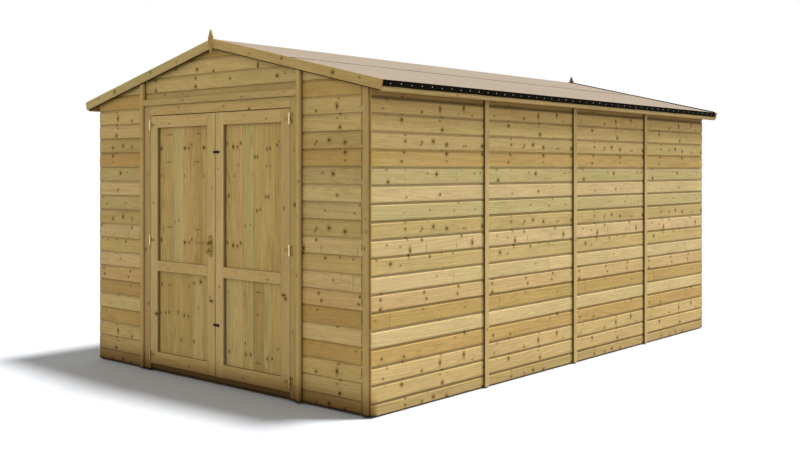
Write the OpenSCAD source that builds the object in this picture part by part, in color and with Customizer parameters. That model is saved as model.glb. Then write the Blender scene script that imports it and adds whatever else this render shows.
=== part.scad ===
// Timber workshop shed: apex roof, weatherboarded panels and a pair of framed doors.
// The ground is at z = 0, the doors face -Y and the ridge runs along Y.

/* [Walls] */
// Width across the gable, over the weatherboards
wall_w = 2920; // [2700:10:3400]
// Length along the ridge, over the weatherboards
wall_l = 4600; // [3600:10:5600]
// Height of the roof deck's underside at the side walls' outer face, above the top of the door head
eaves_rise = 72; // [30:1:200]
// Panels bolted together along each side wall
side_panels = 4; // [3:1:5]
// Gap between neighbouring panels, under the cover strip
panel_gap = 2; // [1:0.5:4]
// Thickness of the weatherboards
clad_t = 14; // [12:1:18]
// Height of the weatherboards' lower edge above the ground
clad_z = 10; // [5:1:20]
// Height of the lowest board, which is cut down
first_board_h = 86; // [60:1:105]
// Cover height of a full weatherboard
board_h = 109.5; // [95:0.5:140]
// Height of the cove planed along each board's top edge
cove_h = 20; // [12:1:26]
// Depth of that cove
cove_d = 6; // [3:0.5:8]

/* [Frame and floor] */
// Face width of studs and rails
stud_w = 34; // [28:1:45]
// Depth of studs and rails behind the boards
stud_d = 44; // [34:1:60]
// Floor joists across the shed
joists = 18; // [12:1:22]
// Width of a floor joist
joist_w = 44; // [34:1:60]
// Height of a floor joist
joist_h = 40; // [34:1:60]
// Thickness of the floor boards
floor_t = 14; // [11:1:20]
// Room between the floor's edge and the weatherboards
floor_fit = 0.5; // [0.2:0.1:0.9]

/* [Roof] */
// Slope of the roof in degrees
pitch = 13.25; // [10:0.25:18]
// Thickness of the roof boards
deck_t = 12; // [10:1:18]
// Thickness of one layer of roofing felt
felt_t = 2.5; // [1.5:0.5:4]
// Level distance from the ridge to the lower edge of the ridge felt
felt_lap_x = 765; // [500:5:1000]
// How far the eaves felt runs up under the ridge felt
felt_overlap = 75; // [50:5:120]
// Level length over which the ridge felt steps onto the eaves felt
felt_step = 8; // [4:1:16]
// Overhang of the roof past each side wall
eaves_over = 110; // [80:5:160]
// Overhang of the roof past the strips beside the doors
gable_over = 1; // [1:0.5:30]
// Height of the eaves fascia
fascia_h = 56; // [45:1:90]
// Thickness of the eaves fascia
fascia_t = 16; // [12:1:22]
// Height of the felt folded down over the eaves
drip_h = 40; // [28:1:50]
// Width of the barge boards
barge_w = 63; // [55:1:95]
// Thickness of the barge boards
barge_t = 16; // [12:1:22]
// How far the barge boards run past the eaves fascia
barge_out = 16; // [15:1:50]
// Gap between the two barge boards, behind the finial
barge_gap = 1; // [0.5:0.5:3]
// Width of the kite-shaped finial
finial_w = 54; // [45:1:110]
// Height of the finial above the ridge
finial_up = 61; // [50:1:120]
// Drop of the finial below the ridge
finial_down = 115; // [80:1:140]
// Width of the finial's blunt tips
finial_tip = 4; // [3:1:14]
// Thickness of the finial
finial_t = 16; // [12:1:22]
// Thickness of the ridge board
ridge_t = 22; // [18:1:32]
// Height of the ridge board
ridge_h = 90; // [75:1:120]
// Height of the rafters, square to the slope
rafter_h = 58; // [45:1:75]
// Height of the tie across each pair of rafters
tie_h = 60; // [45:1:90]
// Thickness of the ties
tie_t = 22; // [16:1:32]
// Drop of the tie's top edge below the ridge
tie_drop = 205; // [160:5:260]
// Gap left where a sloping cut seats
seat_gap = 0.2; // [0.1:0.1:0.5]

/* [Cover strips] */
// Width of the cover strips
strip_w = 45; // [38:1:60]
// Thickness of the cover strips
strip_t = 16; // [12:1:22]

/* [Doorway] */
// How far the door frame and the doors stand out past the weatherboards
door_out = 16; // [8:1:20]
// Clear width between the jambs
door_w = 1526; // [1300:2:1640]
// Height of the door head's underside above the ground
door_h = 1895; // [1800:1:2300]
// Face width of the jambs
jamb_w = 69; // [55:1:80]
// Height of the door head
head_h = 73; // [60:1:85]
// How far the posts stand back behind the jambs' edges
rebate = 10; // [6:1:20]
// Thickness of the sill board below the doors
sill_t = 12; // [8:1:12]

/* [Doors] */
// Thickness of a door's frame
leaf_t = 34; // [30:1:44]
// Width of the stiles
stile_w = 85; // [75:1:110]
// Height of the top rail
top_rail_h = 87; // [70:1:120]
// Height of the middle rail
mid_rail_h = 76; // [60:1:120]
// Height of the middle rail's centre above the ground
mid_rail_z = 786; // [600:1:840]
// Height of the bottom rail
bottom_rail_h = 91; // [70:1:160]
// Thickness of the tongued boards in the doors
door_board_t = 12; // [9:1:14]
// Cover width of a tongued board
door_board_w = 110; // [80:1:140]
// Width of the V groove between tongued boards
groove_w = 6; // [3:0.5:9]
// Depth of that V groove
groove_d = 3; // [1.5:0.5:4]
// Gap between a door and its jamb
jamb_gap = 5; // [5:0.5:6]
// Gap between a door and the head
head_gap = 5; // [5:0.5:12]
// Gap between the two doors
meeting_gap = 8; // [8:0.5:10]
// Gap between a door and the floor
floor_gap = 6; // [5:0.5:15]

/* [Hinges] */
// Height of a hinge's jamb plate
hinge_h = 75; // [65:1:110]
// Radius of the hinge knuckles
knuckle_r = 6; // [5:0.5:7]
// Height of each of the two knuckles on the jamb
end_knuckle_h = 22; // [18:1:24]
// Gap between knuckles along the pin
knuckle_gap = 0.5; // [0.3:0.1:1]
// Radius of the hinge pin
pin_r = 2.5; // [2:0.25:3.5]
// Running clearance round the pin
pin_fit = 0.06; // [0.02:0.01:0.1]
// Thickness of the hinge plates
plate_t = 2.5; // [2:0.5:3]
// Gap between the knuckles and the face of the timber
knuckle_lift = 0.5; // [0.4:0.1:1]
// Width of the plate on the jamb
jamb_plate_w = 20; // [16:1:30]
// Length of the strap on the door, to its round end's centre
strap_l = 42; // [30:1:60]
// Height of the strap at its round end
strap_end_h = 18; // [12:1:24]
// Distance from a door's end to the centre of its outer hinges
hinge_inset = 65; // [48:1:120]

/* [Lock] */
// Distance from the door's edge to the spindle and keyhole
backset = 47; // [44:1:57]
// Height of the lock plate's centre above the ground
lock_z = 962; // [900:1:1100]
// Height of the lock plate
lock_h = 150; // [140:1:200]
// Width of the lock plate
lock_w = 42; // [38:1:46]
// Thickness of the lock plate
lock_t = 5; // [4:0.5:8]
// Height of the lever's spindle above the plate's centre
lever_up = 22; // [15:1:35]
// Radius of the boss round the lever's neck
boss_r = 15; // [13:0.5:17]
// Height of that boss in front of the plate
boss_t = 5; // [3:0.5:8]
// Radius of the lever's neck
neck_r = 8; // [7:0.5:9]
// Running clearance round the neck
neck_fit = 0.1; // [0.05:0.01:0.1]
// Distance from the door to the middle of the lever's grip
lever_out = 36; // [34:1:44]
// Length of the lever from its spindle to its end
lever_l = 115; // [95:1:130]
// Radius of the lever's grip at its end
grip_end_r = 6; // [5:0.5:7]
// Drop of the keyhole below the plate's centre
key_down = 37; // [30:1:45]
// Radius of the key's shank
key_r = 3.5; // [2.5:0.5:4.5]
// Room round the key's shank
key_fit = 0.3; // [0.2:0.1:0.5]
// Length of the shank in front of the plate
key_l = 12; // [8:1:18]
// Outer radius of the key's bow
bow_r = 11; // [9:0.5:13]
// Inner radius of the key's bow
bow_hole_r = 6; // [4:0.5:7]
// Thickness of the key's bow
bow_t = 3; // [2:0.5:4]

/* [Catch plates] */
// Height of a catch plate
catch_h = 16; // [12:1:24]
// Thickness of a catch plate
catch_t = 6; // [4:0.5:10]
// Length of the catch plates on the left door
catch_left_l = 12; // [10:1:30]
// Length of the catch plates on the right door
catch_right_l = 42; // [24:1:45]
// Height of the upper catch above the ground
catch_top_z = 1617; // [1400:1:1750]
// Height of the lower catch above the ground
catch_low_z = 418; // [250:1:600]

/* [Hidden] */
$fn = 48;
joint_step = 22.5;
reach = 1;

half_w = wall_w / 2;
half_l = wall_l / 2;
panel_l = wall_l / side_panels;
frame_x = half_w - clad_t - stud_d;
board_back_x = half_w - clad_t;
frame_y = half_l - clad_t - stud_d;
board_back_y = half_l - clad_t;
floor_top = joist_h + floor_t;

head_top = door_h + head_h;
wall_h = head_top + eaves_rise;
jamb_edge = door_w / 2;
jamb_out = jamb_edge + jamb_w;
post_edge = jamb_edge + rebate;
back_joint = jamb_out + strip_w / 2;

slope = tan(pitch);
upright = 1 / cos(pitch);
deck_v = deck_t * upright;
felt_v = felt_t * upright;
felt_lay = seat_gap / 2;
rail_v = stud_w * upright;
eave_x = half_w + eaves_over;
roof_l = half_l + door_out + strip_t + gable_over;
ridge_top = roof_under(ridge_t / 2) - seat_gap;
ridge_low = ridge_top - ridge_h;
barge_top_z = roof_top(0);

leaf_x0 = meeting_gap / 2;
leaf_x1 = jamb_edge - jamb_gap;
leaf_z0 = floor_top + floor_gap;
leaf_z1 = door_h - head_gap;
door_face = -half_l - door_out;
leaf_back = door_face + leaf_t;
panel_x0 = leaf_x0 + stile_w;
panel_x1 = leaf_x1 - stile_w;
mid_rail_z0 = mid_rail_z - mid_rail_h / 2;
mid_rail_z1 = mid_rail_z + mid_rail_h / 2;

hinge_x = jamb_edge - jamb_gap / 2;
hinge_y = door_face - knuckle_r - knuckle_lift;
mid_knuckle_h = hinge_h - 2 * end_knuckle_h - 2 * knuckle_gap;
hinge_heights = [leaf_z0 + hinge_inset, (leaf_z0 + leaf_z1) / 2, leaf_z1 - hinge_inset];

lock_x = -leaf_x0 - backset;
lever_z = lock_z + lever_up;
key_z = lock_z - key_down;

timber = [0.74, 0.64, 0.42];
frame_timber = [0.80, 0.70, 0.48];
door_timber = [0.70, 0.58, 0.37];
brass = [0.80, 0.62, 0.25];
felt_grey = [0.76, 0.69, 0.62];

// Height of the roof deck's underside at a distance x from the middle
function roof_under(x) = wall_h + (half_w - abs(x)) * slope;

// Height of the finished roof at a distance x from the middle
function roof_top(x) = roof_under(x) + deck_v + 2 * (felt_lay + felt_v);

// Height of the underside of the sloping rail in a gable
function rail_under(x) = roof_under(x) - 2 * seat_gap - rail_v;

// Height of the lower edge of the weatherboard above joint number k
function board_joint(k) = clad_z + first_board_h + k * board_h;

// Cove below a joint: a quarter ellipse from its deepest point out to the face
function cove(z) = [for (a = [0 : joint_step : 90]) [cove_d * cos(a), z - cove_h * sin(a)]];

// Section of a boarded wall as depth behind its face and height
function board_section(top_out, top_in) =
    let (last = floor((top_out - reach - board_joint(0)) / board_h))
    concat(
        [[0, top_out]],
        [for (k = [last : -1 : 0]) each concat([[0, board_joint(k)]], cove(board_joint(k)))],
        [[0, clad_z], [clad_t, clad_z], [clad_t, top_in]]
    );

// Start of a side panel along the wall; ends is where the outermost panels stop
function panel_start(i, ends) = i == 0 ? -ends : -half_l + i * panel_l + panel_gap / 2;
function panel_end(i, ends) = -panel_start(side_panels - 1 - i, ends);

module along_y(y0, y1) {
    translate([0, y1, 0]) rotate([90, 0, 0]) linear_extrude(y1 - y0) children();
}

module along_x(x0, x1) {
    translate([x0, 0, 0]) rotate([90, 0, 90]) linear_extrude(x1 - x0) children();
}

module block(low, high) {
    translate(low) cube(high - low);
}

module both_sides() {
    children();
    mirror([1, 0, 0]) children();
}

// Upright board or stud in a gable, cut to the slope at its top
module sloped_post(x0, x1, z0, drop) {
    polygon([
        [x0, z0], [x1, z0],
        [x1, roof_under(x1) - drop], [x0, roof_under(x0) - drop]
    ]);
}

// Floor
module floor_joists() {
    span = board_back_x - floor_fit;
    first = board_back_y - floor_fit - joist_w / 2;
    color(frame_timber)
        for (i = [0 : joists - 1]) {
            y = -first + i * 2 * first / (joists - 1);
            block([-span, y - joist_w / 2, 0], [span, y + joist_w / 2, joist_h]);
        }
}

module floor_boards() {
    span_x = board_back_x - floor_fit;
    span_y = board_back_y - floor_fit;
    color(frame_timber) block([-span_x, -span_y, joist_h], [span_x, span_y, floor_top]);
}

// Side walls: boarded panels on their own frames
module right_wall() {
    section = board_section(roof_under(half_w) - seat_gap, roof_under(board_back_x) - seat_gap);
    color(timber)
        for (i = [0 : side_panels - 1])
            along_y(panel_start(i, half_l), panel_end(i, half_l))
                polygon([for (p = section) [half_w - p[0], p[1]]]);
}

module right_rails() {
    rail_low = roof_under(board_back_x) - seat_gap - stud_w;
    color(frame_timber)
        for (i = [0 : side_panels - 1]) {
            y0 = panel_start(i, board_back_y);
            y1 = panel_end(i, board_back_y);
            block([frame_x, y0, floor_top], [board_back_x, y1, floor_top + stud_w]);
            along_y(y0, y1) polygon([
                [frame_x, rail_low], [board_back_x, rail_low],
                [board_back_x, roof_under(board_back_x) - seat_gap],
                [frame_x, roof_under(frame_x) - seat_gap]
            ]);
        }
}

module right_studs() {
    stud_top = roof_under(board_back_x) - seat_gap - stud_w;
    color(frame_timber)
        for (i = [0 : side_panels - 1]) {
            y0 = panel_start(i, board_back_y);
            y1 = panel_end(i, board_back_y);
            for (y = [y0, (y0 + y1 - stud_w) / 2, y1 - stud_w])
                block([frame_x, y, floor_top + stud_w], [board_back_x, y + stud_w, stud_top]);
        }
}

module left_wall() mirror([1, 0, 0]) right_wall();
module left_rails() mirror([1, 0, 0]) right_rails();
module left_studs() mirror([1, 0, 0]) right_studs();

// Boards of a gable, drawn on the front and cut to an outline in x and z
module gable_boards() {
    section = board_section(roof_under(0), roof_under(0));
    intersection() {
        along_x(-half_w, half_w) polygon([for (p = section) [p[0] - half_l, p[1]]]);
        along_y(-half_l - reach, -board_back_y + reach) children();
    }
}

module front_wall_right() {
    color(timber) gable_boards() sloped_post(jamb_out, board_back_x, clad_z, seat_gap);
}

module front_wall_left() mirror([1, 0, 0]) front_wall_right();

module front_gable() {
    color(timber) gable_boards() polygon([
        [-jamb_out, head_top], [jamb_out, head_top],
        [jamb_out, roof_under(jamb_out) - seat_gap],
        [0, roof_under(0) - seat_gap],
        [-jamb_out, roof_under(jamb_out) - seat_gap]
    ]);
}

// Sloping rails under the roof at one gable
module gable_rails() {
    both_sides() along_y(-board_back_y, -frame_y) polygon([
        [ridge_t / 2, roof_under(ridge_t / 2) - seat_gap],
        [frame_x, roof_under(frame_x) - seat_gap],
        [frame_x, roof_under(frame_x) - seat_gap - rail_v],
        [ridge_t / 2, roof_under(ridge_t / 2) - seat_gap - rail_v]
    ]);
}

// Studs of a gable between x0 and x1 from z0 up to the sloping rail
module gable_stud(x0, x1, z0) {
    along_y(-board_back_y, -frame_y) sloped_post(x0, x1, z0, rail_v + 2 * seat_gap);
}

// Short stud in the middle of a gable, under the ridge board
module king_stud(z0) {
    block([-stud_w / 2, -board_back_y, z0], [stud_w / 2, -frame_y, ridge_low]);
}

module front_studs() {
    sill_z = floor_top + stud_w;
    middle = (jamb_out + frame_x) / 2;
    cripple = post_edge / 2;
    color(frame_timber) {
        both_sides() {
            gable_stud(post_edge, jamb_out, floor_top);
            gable_stud(middle - stud_w / 2, middle + stud_w / 2, sill_z);
            gable_stud(frame_x - stud_w, frame_x, sill_z);
            gable_stud(cripple - stud_w / 2, cripple + stud_w / 2, head_top);
        }
        king_stud(head_top);
    }
}

module front_rails() {
    color(frame_timber) {
        gable_rails();
        both_sides()
            block([jamb_out, -board_back_y, floor_top], [frame_x, -frame_y, floor_top + stud_w]);
        block([-post_edge, -board_back_y, door_h], [post_edge, -frame_y, head_top]);
    }
}

module back_wall() {
    joint_in = back_joint - panel_gap / 2;
    joint_out = back_joint + panel_gap / 2;
    color(timber) mirror([0, 1, 0]) {
        both_sides() gable_boards() sloped_post(joint_out, board_back_x, clad_z, seat_gap);
        gable_boards() polygon([
            [-joint_in, clad_z], [joint_in, clad_z],
            [joint_in, roof_under(joint_in) - seat_gap],
            [0, roof_under(0) - seat_gap],
            [-joint_in, roof_under(joint_in) - seat_gap]
        ]);
    }
}

module back_studs() {
    sill_z = floor_top + stud_w;
    joint_in = back_joint - panel_gap / 2;
    joint_out = back_joint + panel_gap / 2;
    middle = (joint_out + frame_x) / 2;
    color(frame_timber) mirror([0, 1, 0]) {
        both_sides() {
            gable_stud(joint_in / 2 - stud_w / 2, joint_in / 2 + stud_w / 2, sill_z);
            gable_stud(joint_in - stud_w, joint_in, sill_z);
            gable_stud(joint_out, joint_out + stud_w, sill_z);
            gable_stud(middle - stud_w / 2, middle + stud_w / 2, sill_z);
            gable_stud(frame_x - stud_w, frame_x, sill_z);
        }
        king_stud(sill_z);
    }
}

module back_rails() {
    joint_in = back_joint - panel_gap / 2;
    joint_out = back_joint + panel_gap / 2;
    color(frame_timber) mirror([0, 1, 0]) {
        gable_rails();
        both_sides()
            block([joint_out, -board_back_y, floor_top], [frame_x, -frame_y, floor_top + stud_w]);
        block([-joint_in, -board_back_y, floor_top], [joint_in, -frame_y, floor_top + stud_w]);
    }
}

// Cover strips over the panel joints and beside the doors
module right_cover_strips() {
    color(timber)
        for (i = [1 : side_panels - 1]) {
            y = -half_l + i * panel_l;
            along_y(y - strip_w / 2, y + strip_w / 2)
                sloped_post(half_w, half_w + strip_t, clad_z, seat_gap);
        }
}

module left_cover_strips() mirror([1, 0, 0]) right_cover_strips();

module gable_strip(x0, out) {
    along_y(-half_l - out, -half_l) sloped_post(x0, x0 + strip_w, clad_z, seat_gap);
}

module front_cover_strips() {
    color(timber) both_sides() {
        gable_strip(jamb_out, door_out + strip_t);
        gable_strip(board_back_x - strip_w, strip_t);
    }
}

module back_cover_strips() {
    color(timber) mirror([0, 1, 0]) both_sides() {
        gable_strip(back_joint - strip_w / 2, strip_t);
        gable_strip(board_back_x - strip_w, strip_t);
    }
}

module door_head_strip() {
    color(timber)
        block([-jamb_out, door_face - strip_t, head_top], [jamb_out, -half_l, head_top + strip_w]);
}

// Door frame
module door_jambs() {
    color(door_timber) both_sides()
        block([jamb_edge, door_face, clad_z], [jamb_out, -board_back_y, head_top]);
}

module door_head() {
    color(door_timber)
        block([-jamb_edge, door_face, door_h], [jamb_edge, -board_back_y, head_top]);
}

module door_sill() {
    front = -board_back_y + floor_fit - sill_t;
    color(door_timber)
        block([-jamb_edge, front, clad_z], [jamb_edge, front + sill_t, floor_top]);
}

// Roof
module ridge_board() {
    color(frame_timber)
        block([-ridge_t / 2, -board_back_y, ridge_low], [ridge_t / 2, board_back_y, ridge_top]);
}

module rafters() {
    drop = seat_gap;
    color(frame_timber) both_sides()
        for (i = [1 : side_panels - 1]) {
            y = -half_l + i * panel_l;
            along_y(y - stud_w / 2, y + stud_w / 2) polygon([
                [ridge_t / 2, roof_under(ridge_t / 2) - drop],
                [frame_x, roof_under(frame_x) - drop],
                [frame_x, roof_under(frame_x) - drop - rafter_h * upright],
                [ridge_t / 2, roof_under(ridge_t / 2) - drop - rafter_h * upright]
            ]);
        }
}

module rafter_ties() {
    top = roof_under(0) - tie_drop;
    half_top = (tie_drop - seat_gap) / slope;
    half_low = half_top + tie_h / slope;
    color(frame_timber)
        for (i = [1 : side_panels - 1]) {
            y = -half_l + i * panel_l + stud_w / 2;
            along_y(y, y + tie_t)
                polygon([[-half_low, top - tie_h], [half_low, top - tie_h], [half_top, top], [-half_top, top]]);
        }
}

module roof_deck_right() {
    color(timber) along_y(-roof_l, roof_l) polygon([
        [0, roof_under(0)], [eave_x, roof_under(eave_x)],
        [eave_x, roof_under(eave_x) + deck_v], [0, roof_under(0) + deck_v]
    ]);
}

module roof_deck_left() mirror([1, 0, 0]) roof_deck_right();

module eaves_felts() {
    x0 = felt_lap_x - felt_overlap;
    low = deck_v + felt_lay;
    color(felt_grey) both_sides() along_y(-roof_l, roof_l) polygon([
        [x0, roof_under(x0) + low], [eave_x, roof_under(eave_x) + low],
        [eave_x, roof_under(eave_x) + low + felt_v], [x0, roof_under(x0) + low + felt_v]
    ]);
}

// One sheet bent over the ridge, which steps up onto the eaves felts
module ridge_felt() {
    x0 = felt_lap_x - felt_overlap - felt_step;
    x1 = felt_lap_x - felt_overlap;
    on_deck = deck_v + felt_lay;
    on_felt = on_deck + felt_v + felt_lay;
    low = [[0, on_deck], [x0, on_deck], [x1, on_felt], [felt_lap_x, on_felt]];
    right = [for (p = low) [p[0], roof_under(p[0]) + p[1]]];
    left = [for (k = [len(right) - 1 : -1 : 1]) [-right[k][0], right[k][1]]];
    under = concat(left, right);
    over = [for (k = [len(under) - 1 : -1 : 0]) under[k] + [0, felt_v]];
    color(felt_grey) along_y(-roof_l, roof_l) polygon(concat(under, over));
}

module eaves_drips() {
    top = roof_under(eave_x) + deck_v + felt_lay + felt_v;
    color([0.12, 0.11, 0.10]) both_sides()
        block([eave_x, -roof_l, top - drip_h], [eave_x + felt_t, roof_l, top]);
}

module eaves_fascias() {
    x0 = eave_x - fascia_t;
    low = roof_under(eave_x) - fascia_h;
    color(timber) both_sides() along_y(-roof_l, roof_l) polygon([
        [x0, low], [eave_x, low],
        [eave_x, roof_under(eave_x) - seat_gap], [x0, roof_under(x0) - seat_gap]
    ]);
}

module front_barge_boards() {
    x0 = barge_gap / 2;
    x1 = eave_x + barge_out;
    color(timber) both_sides() along_y(-roof_l - barge_t, -roof_l) polygon([
        [x0, roof_top(x0)], [x1, roof_top(x1)],
        [x1 - barge_w * sin(pitch), roof_top(x1) - barge_w * cos(pitch)],
        [x0, roof_top(x0) - barge_w * upright]
    ]);
}

module back_barge_boards() mirror([0, 1, 0]) front_barge_boards();

module front_finial() {
    tip = finial_tip / 2;
    along_y(-roof_l - barge_t - finial_t, -roof_l - barge_t) polygon([
        [-finial_w / 2, barge_top_z], [-tip, barge_top_z - finial_down], [tip, barge_top_z - finial_down],
        [finial_w / 2, barge_top_z], [tip, barge_top_z + finial_up], [-tip, barge_top_z + finial_up]
    ]);
}

module finials() {
    color(timber) {
        front_finial();
        mirror([0, 1, 0]) front_finial();
    }
}

// Doors: the right one is drawn and the left one mirrors it
module right_door_stiles() {
    color(door_timber) {
        block([leaf_x0, door_face, leaf_z0], [panel_x0, leaf_back, leaf_z1]);
        block([panel_x1, door_face, leaf_z0], [leaf_x1, leaf_back, leaf_z1]);
    }
}

module right_door_rails() {
    color(door_timber)
        for (span = [
            [leaf_z0, leaf_z0 + bottom_rail_h],
            [mid_rail_z0, mid_rail_z1],
            [leaf_z1 - top_rail_h, leaf_z1]
        ])
            block([panel_x0, door_face, span[0]], [panel_x1, leaf_back, span[1]]);
}

// Section of the tongued boards: V grooves at board joints counted out from the middle
module door_board_section() {
    middle = (panel_x0 + panel_x1) / 2;
    face = leaf_back - door_board_t;
    count = floor(((panel_x1 - panel_x0) / 2 - groove_w) / door_board_w);
    polygon(concat(
        [[panel_x1, face], [panel_x1, leaf_back], [panel_x0, leaf_back], [panel_x0, face]],
        [for (k = [-count : count], p = [[-groove_w / 2, 0], [0, groove_d], [groove_w / 2, 0]])
            [middle + k * door_board_w + p[0], face + p[1]]]
    ));
}

module right_door_boards() {
    color(door_timber)
        for (span = [[leaf_z0 + bottom_rail_h, mid_rail_z0], [mid_rail_z1, leaf_z1 - top_rail_h]])
            translate([0, 0, span[0]]) linear_extrude(span[1] - span[0]) door_board_section();
}

module left_door_stiles() mirror([1, 0, 0]) right_door_stiles();
module left_door_rails() mirror([1, 0, 0]) right_door_rails();
module left_door_boards() mirror([1, 0, 0]) right_door_boards();

// Hinges: plate, two knuckles and pin on the jamb
module jamb_hinge() {
    plate_x = hinge_x + knuckle_r + knuckle_gap;
    translate([hinge_x, hinge_y, -hinge_h / 2]) cylinder(r = pin_r, h = hinge_h);
    block([plate_x, door_face - plate_t, -hinge_h / 2], [plate_x + jamb_plate_w, door_face, hinge_h / 2]);
    for (z = [-hinge_h / 2, hinge_h / 2 - end_knuckle_h]) {
        translate([hinge_x, hinge_y, z]) cylinder(r = knuckle_r, h = end_knuckle_h);
        block([hinge_x, door_face - plate_t, z], [plate_x, door_face - knuckle_lift, z + end_knuckle_h]);
    }
}

module jamb_hinges() {
    color(brass) both_sides()
        for (z = hinge_heights) translate([0, 0, z]) jamb_hinge();
}

// Strap with the middle knuckle, on the door
module door_hinge() {
    half_h = mid_knuckle_h / 2;
    difference() {
        union() {
            translate([hinge_x, hinge_y, -half_h]) cylinder(r = knuckle_r, h = mid_knuckle_h);
            along_y(door_face - plate_t, door_face) {
                polygon([
                    [leaf_x1, -half_h], [leaf_x1, half_h],
                    [hinge_x - strap_l, strap_end_h / 2], [hinge_x - strap_l, -strap_end_h / 2]
                ]);
                translate([hinge_x - strap_l, 0]) circle(d = strap_end_h);
            }
            block([leaf_x1, door_face - plate_t, -half_h], [hinge_x, door_face - knuckle_lift, half_h]);
        }
        translate([hinge_x, hinge_y, -half_h - reach])
            cylinder(r = pin_r + pin_fit, h = mid_knuckle_h + 2 * reach);
    }
}

module right_door_hinges() {
    color(brass)
        for (z = hinge_heights) translate([0, 0, z]) door_hinge();
}

module left_door_hinges() mirror([1, 0, 0]) right_door_hinges();

// Lock plate with round ends, a boss for the lever and a keyhole
module lock_plate() {
    straight = lock_h / 2 - lock_w / 2;
    color(brass) difference() {
        union() {
            along_y(door_face - lock_t, door_face) translate([lock_x, lock_z]) {
                square([lock_w, 2 * straight], center = true);
                for (z = [-straight, straight]) translate([0, z]) circle(d = lock_w);
            }
            along_y(door_face - lock_t - boss_t, door_face - lock_t)
                translate([lock_x, lever_z]) circle(r = boss_r);
        }
        along_y(door_face - lock_t - boss_t - reach, door_face + reach) {
            translate([lock_x, lever_z]) circle(r = neck_r + neck_fit);
            translate([lock_x, key_z]) circle(r = key_r + key_fit);
        }
    }
}

// Lever of round bar: a neck, a quarter bend and a tapered grip with a round end
module door_lever() {
    bend_r = 2 * neck_r;
    grip_l = lever_l - bend_r - grip_end_r;
    color(brass) translate([lock_x, door_face, lever_z]) {
        translate([0, bend_r - lever_out, 0]) rotate([-90, 0, 0])
            cylinder(r = neck_r, h = lever_out - bend_r);
        translate([-bend_r, bend_r - lever_out, 0]) rotate([0, 0, -90])
            rotate_extrude(angle = 90) translate([bend_r, 0]) circle(r = neck_r);
        translate([-bend_r, -lever_out, 0]) rotate([0, -90, 0])
            cylinder(r1 = neck_r, r2 = grip_end_r, h = grip_l);
        translate([-bend_r - grip_l, -lever_out, 0]) sphere(r = grip_end_r);
    }
}

module door_key() {
    bow_y = door_face - lock_t - key_l - bow_r + bow_t;
    color(brass) translate([lock_x, 0, key_z]) {
        translate([0, door_face - lock_t - key_l, 0]) rotate([-90, 0, 0])
            cylinder(r = key_r, h = lock_t + key_l);
        translate([-bow_t / 2, bow_y, 0]) rotate([90, 0, 90]) linear_extrude(bow_t) difference() {
            circle(r = bow_r);
            circle(r = bow_hole_r);
        }
    }
}

// Catch plates across the joint of the doors, in two halves
module catches(x0, x1) {
    color([0.10, 0.10, 0.10])
        for (z = [catch_low_z, catch_top_z])
            block([x0, door_face - catch_t, z - catch_h / 2], [x1, door_face, z + catch_h / 2]);
}

module left_catches() catches(-leaf_x0 - catch_left_l, -leaf_x0);
module right_catches() catches(leaf_x0, leaf_x0 + catch_right_l);

floor_joists();
floor_boards();
right_wall();
right_studs();
right_rails();
left_wall();
left_studs();
left_rails();
front_wall_left();
front_wall_right();
front_gable();
front_studs();
front_rails();
back_wall();
back_studs();
back_rails();
right_cover_strips();
left_cover_strips();
front_cover_strips();
back_cover_strips();
door_head_strip();
door_jambs();
door_head();
door_sill();
ridge_board();
rafters();
rafter_ties();
roof_deck_right();
roof_deck_left();
eaves_felts();
ridge_felt();
eaves_drips();
eaves_fascias();
front_barge_boards();
back_barge_boards();
finials();
left_door_stiles();
left_door_rails();
left_door_boards();
right_door_stiles();
right_door_rails();
right_door_boards();
jamb_hinges();
left_door_hinges();
right_door_hinges();
lock_plate();
door_lever();
door_key();
left_catches();
right_catches();
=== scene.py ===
import bpy
import numpy as np
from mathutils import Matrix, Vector


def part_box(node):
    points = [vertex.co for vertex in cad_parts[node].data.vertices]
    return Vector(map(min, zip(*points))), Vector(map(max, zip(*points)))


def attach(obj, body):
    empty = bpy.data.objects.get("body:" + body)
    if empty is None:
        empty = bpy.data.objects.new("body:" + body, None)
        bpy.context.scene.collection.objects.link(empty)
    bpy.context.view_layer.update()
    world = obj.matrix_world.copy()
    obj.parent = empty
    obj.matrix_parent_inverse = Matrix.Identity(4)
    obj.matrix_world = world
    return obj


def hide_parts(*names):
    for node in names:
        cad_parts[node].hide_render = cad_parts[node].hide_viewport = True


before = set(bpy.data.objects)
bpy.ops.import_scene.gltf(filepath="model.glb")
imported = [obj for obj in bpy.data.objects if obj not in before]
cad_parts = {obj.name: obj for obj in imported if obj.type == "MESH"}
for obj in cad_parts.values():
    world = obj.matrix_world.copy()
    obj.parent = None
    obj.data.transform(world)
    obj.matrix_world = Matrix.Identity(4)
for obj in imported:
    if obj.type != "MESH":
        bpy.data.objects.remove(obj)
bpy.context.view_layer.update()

# View, light and ground
# A level camera at eye height looks past the right front corner. A wide soft sun stands high behind the right
# back corner, so the doors lie in shade under a sky that is palest at the horizon, and the shadow falls
# forward and to the left on a plain white ground.
view_place = (5.549, -6.725, 1.497)
view_turn = np.radians(41.11)
view_lens = 45.22
view_drop = -0.0696
sun_from = Vector((0.215, 0.25, 1.0))
sun_strength = 4.5
sun_width = np.radians(9)
sky_strength = 1.22
sky_fall = 0.75
sky_cast = (0.97, 0.985, 0.975, 1.0)
sun_cast = (1.0, 1.01, 1.01)
ground_reach = 150.0
ground_seen = (0.54, 0.55, 0.575, 1.0)
ground_bounce = (0.22, 0.22, 0.22, 1.0)


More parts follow.
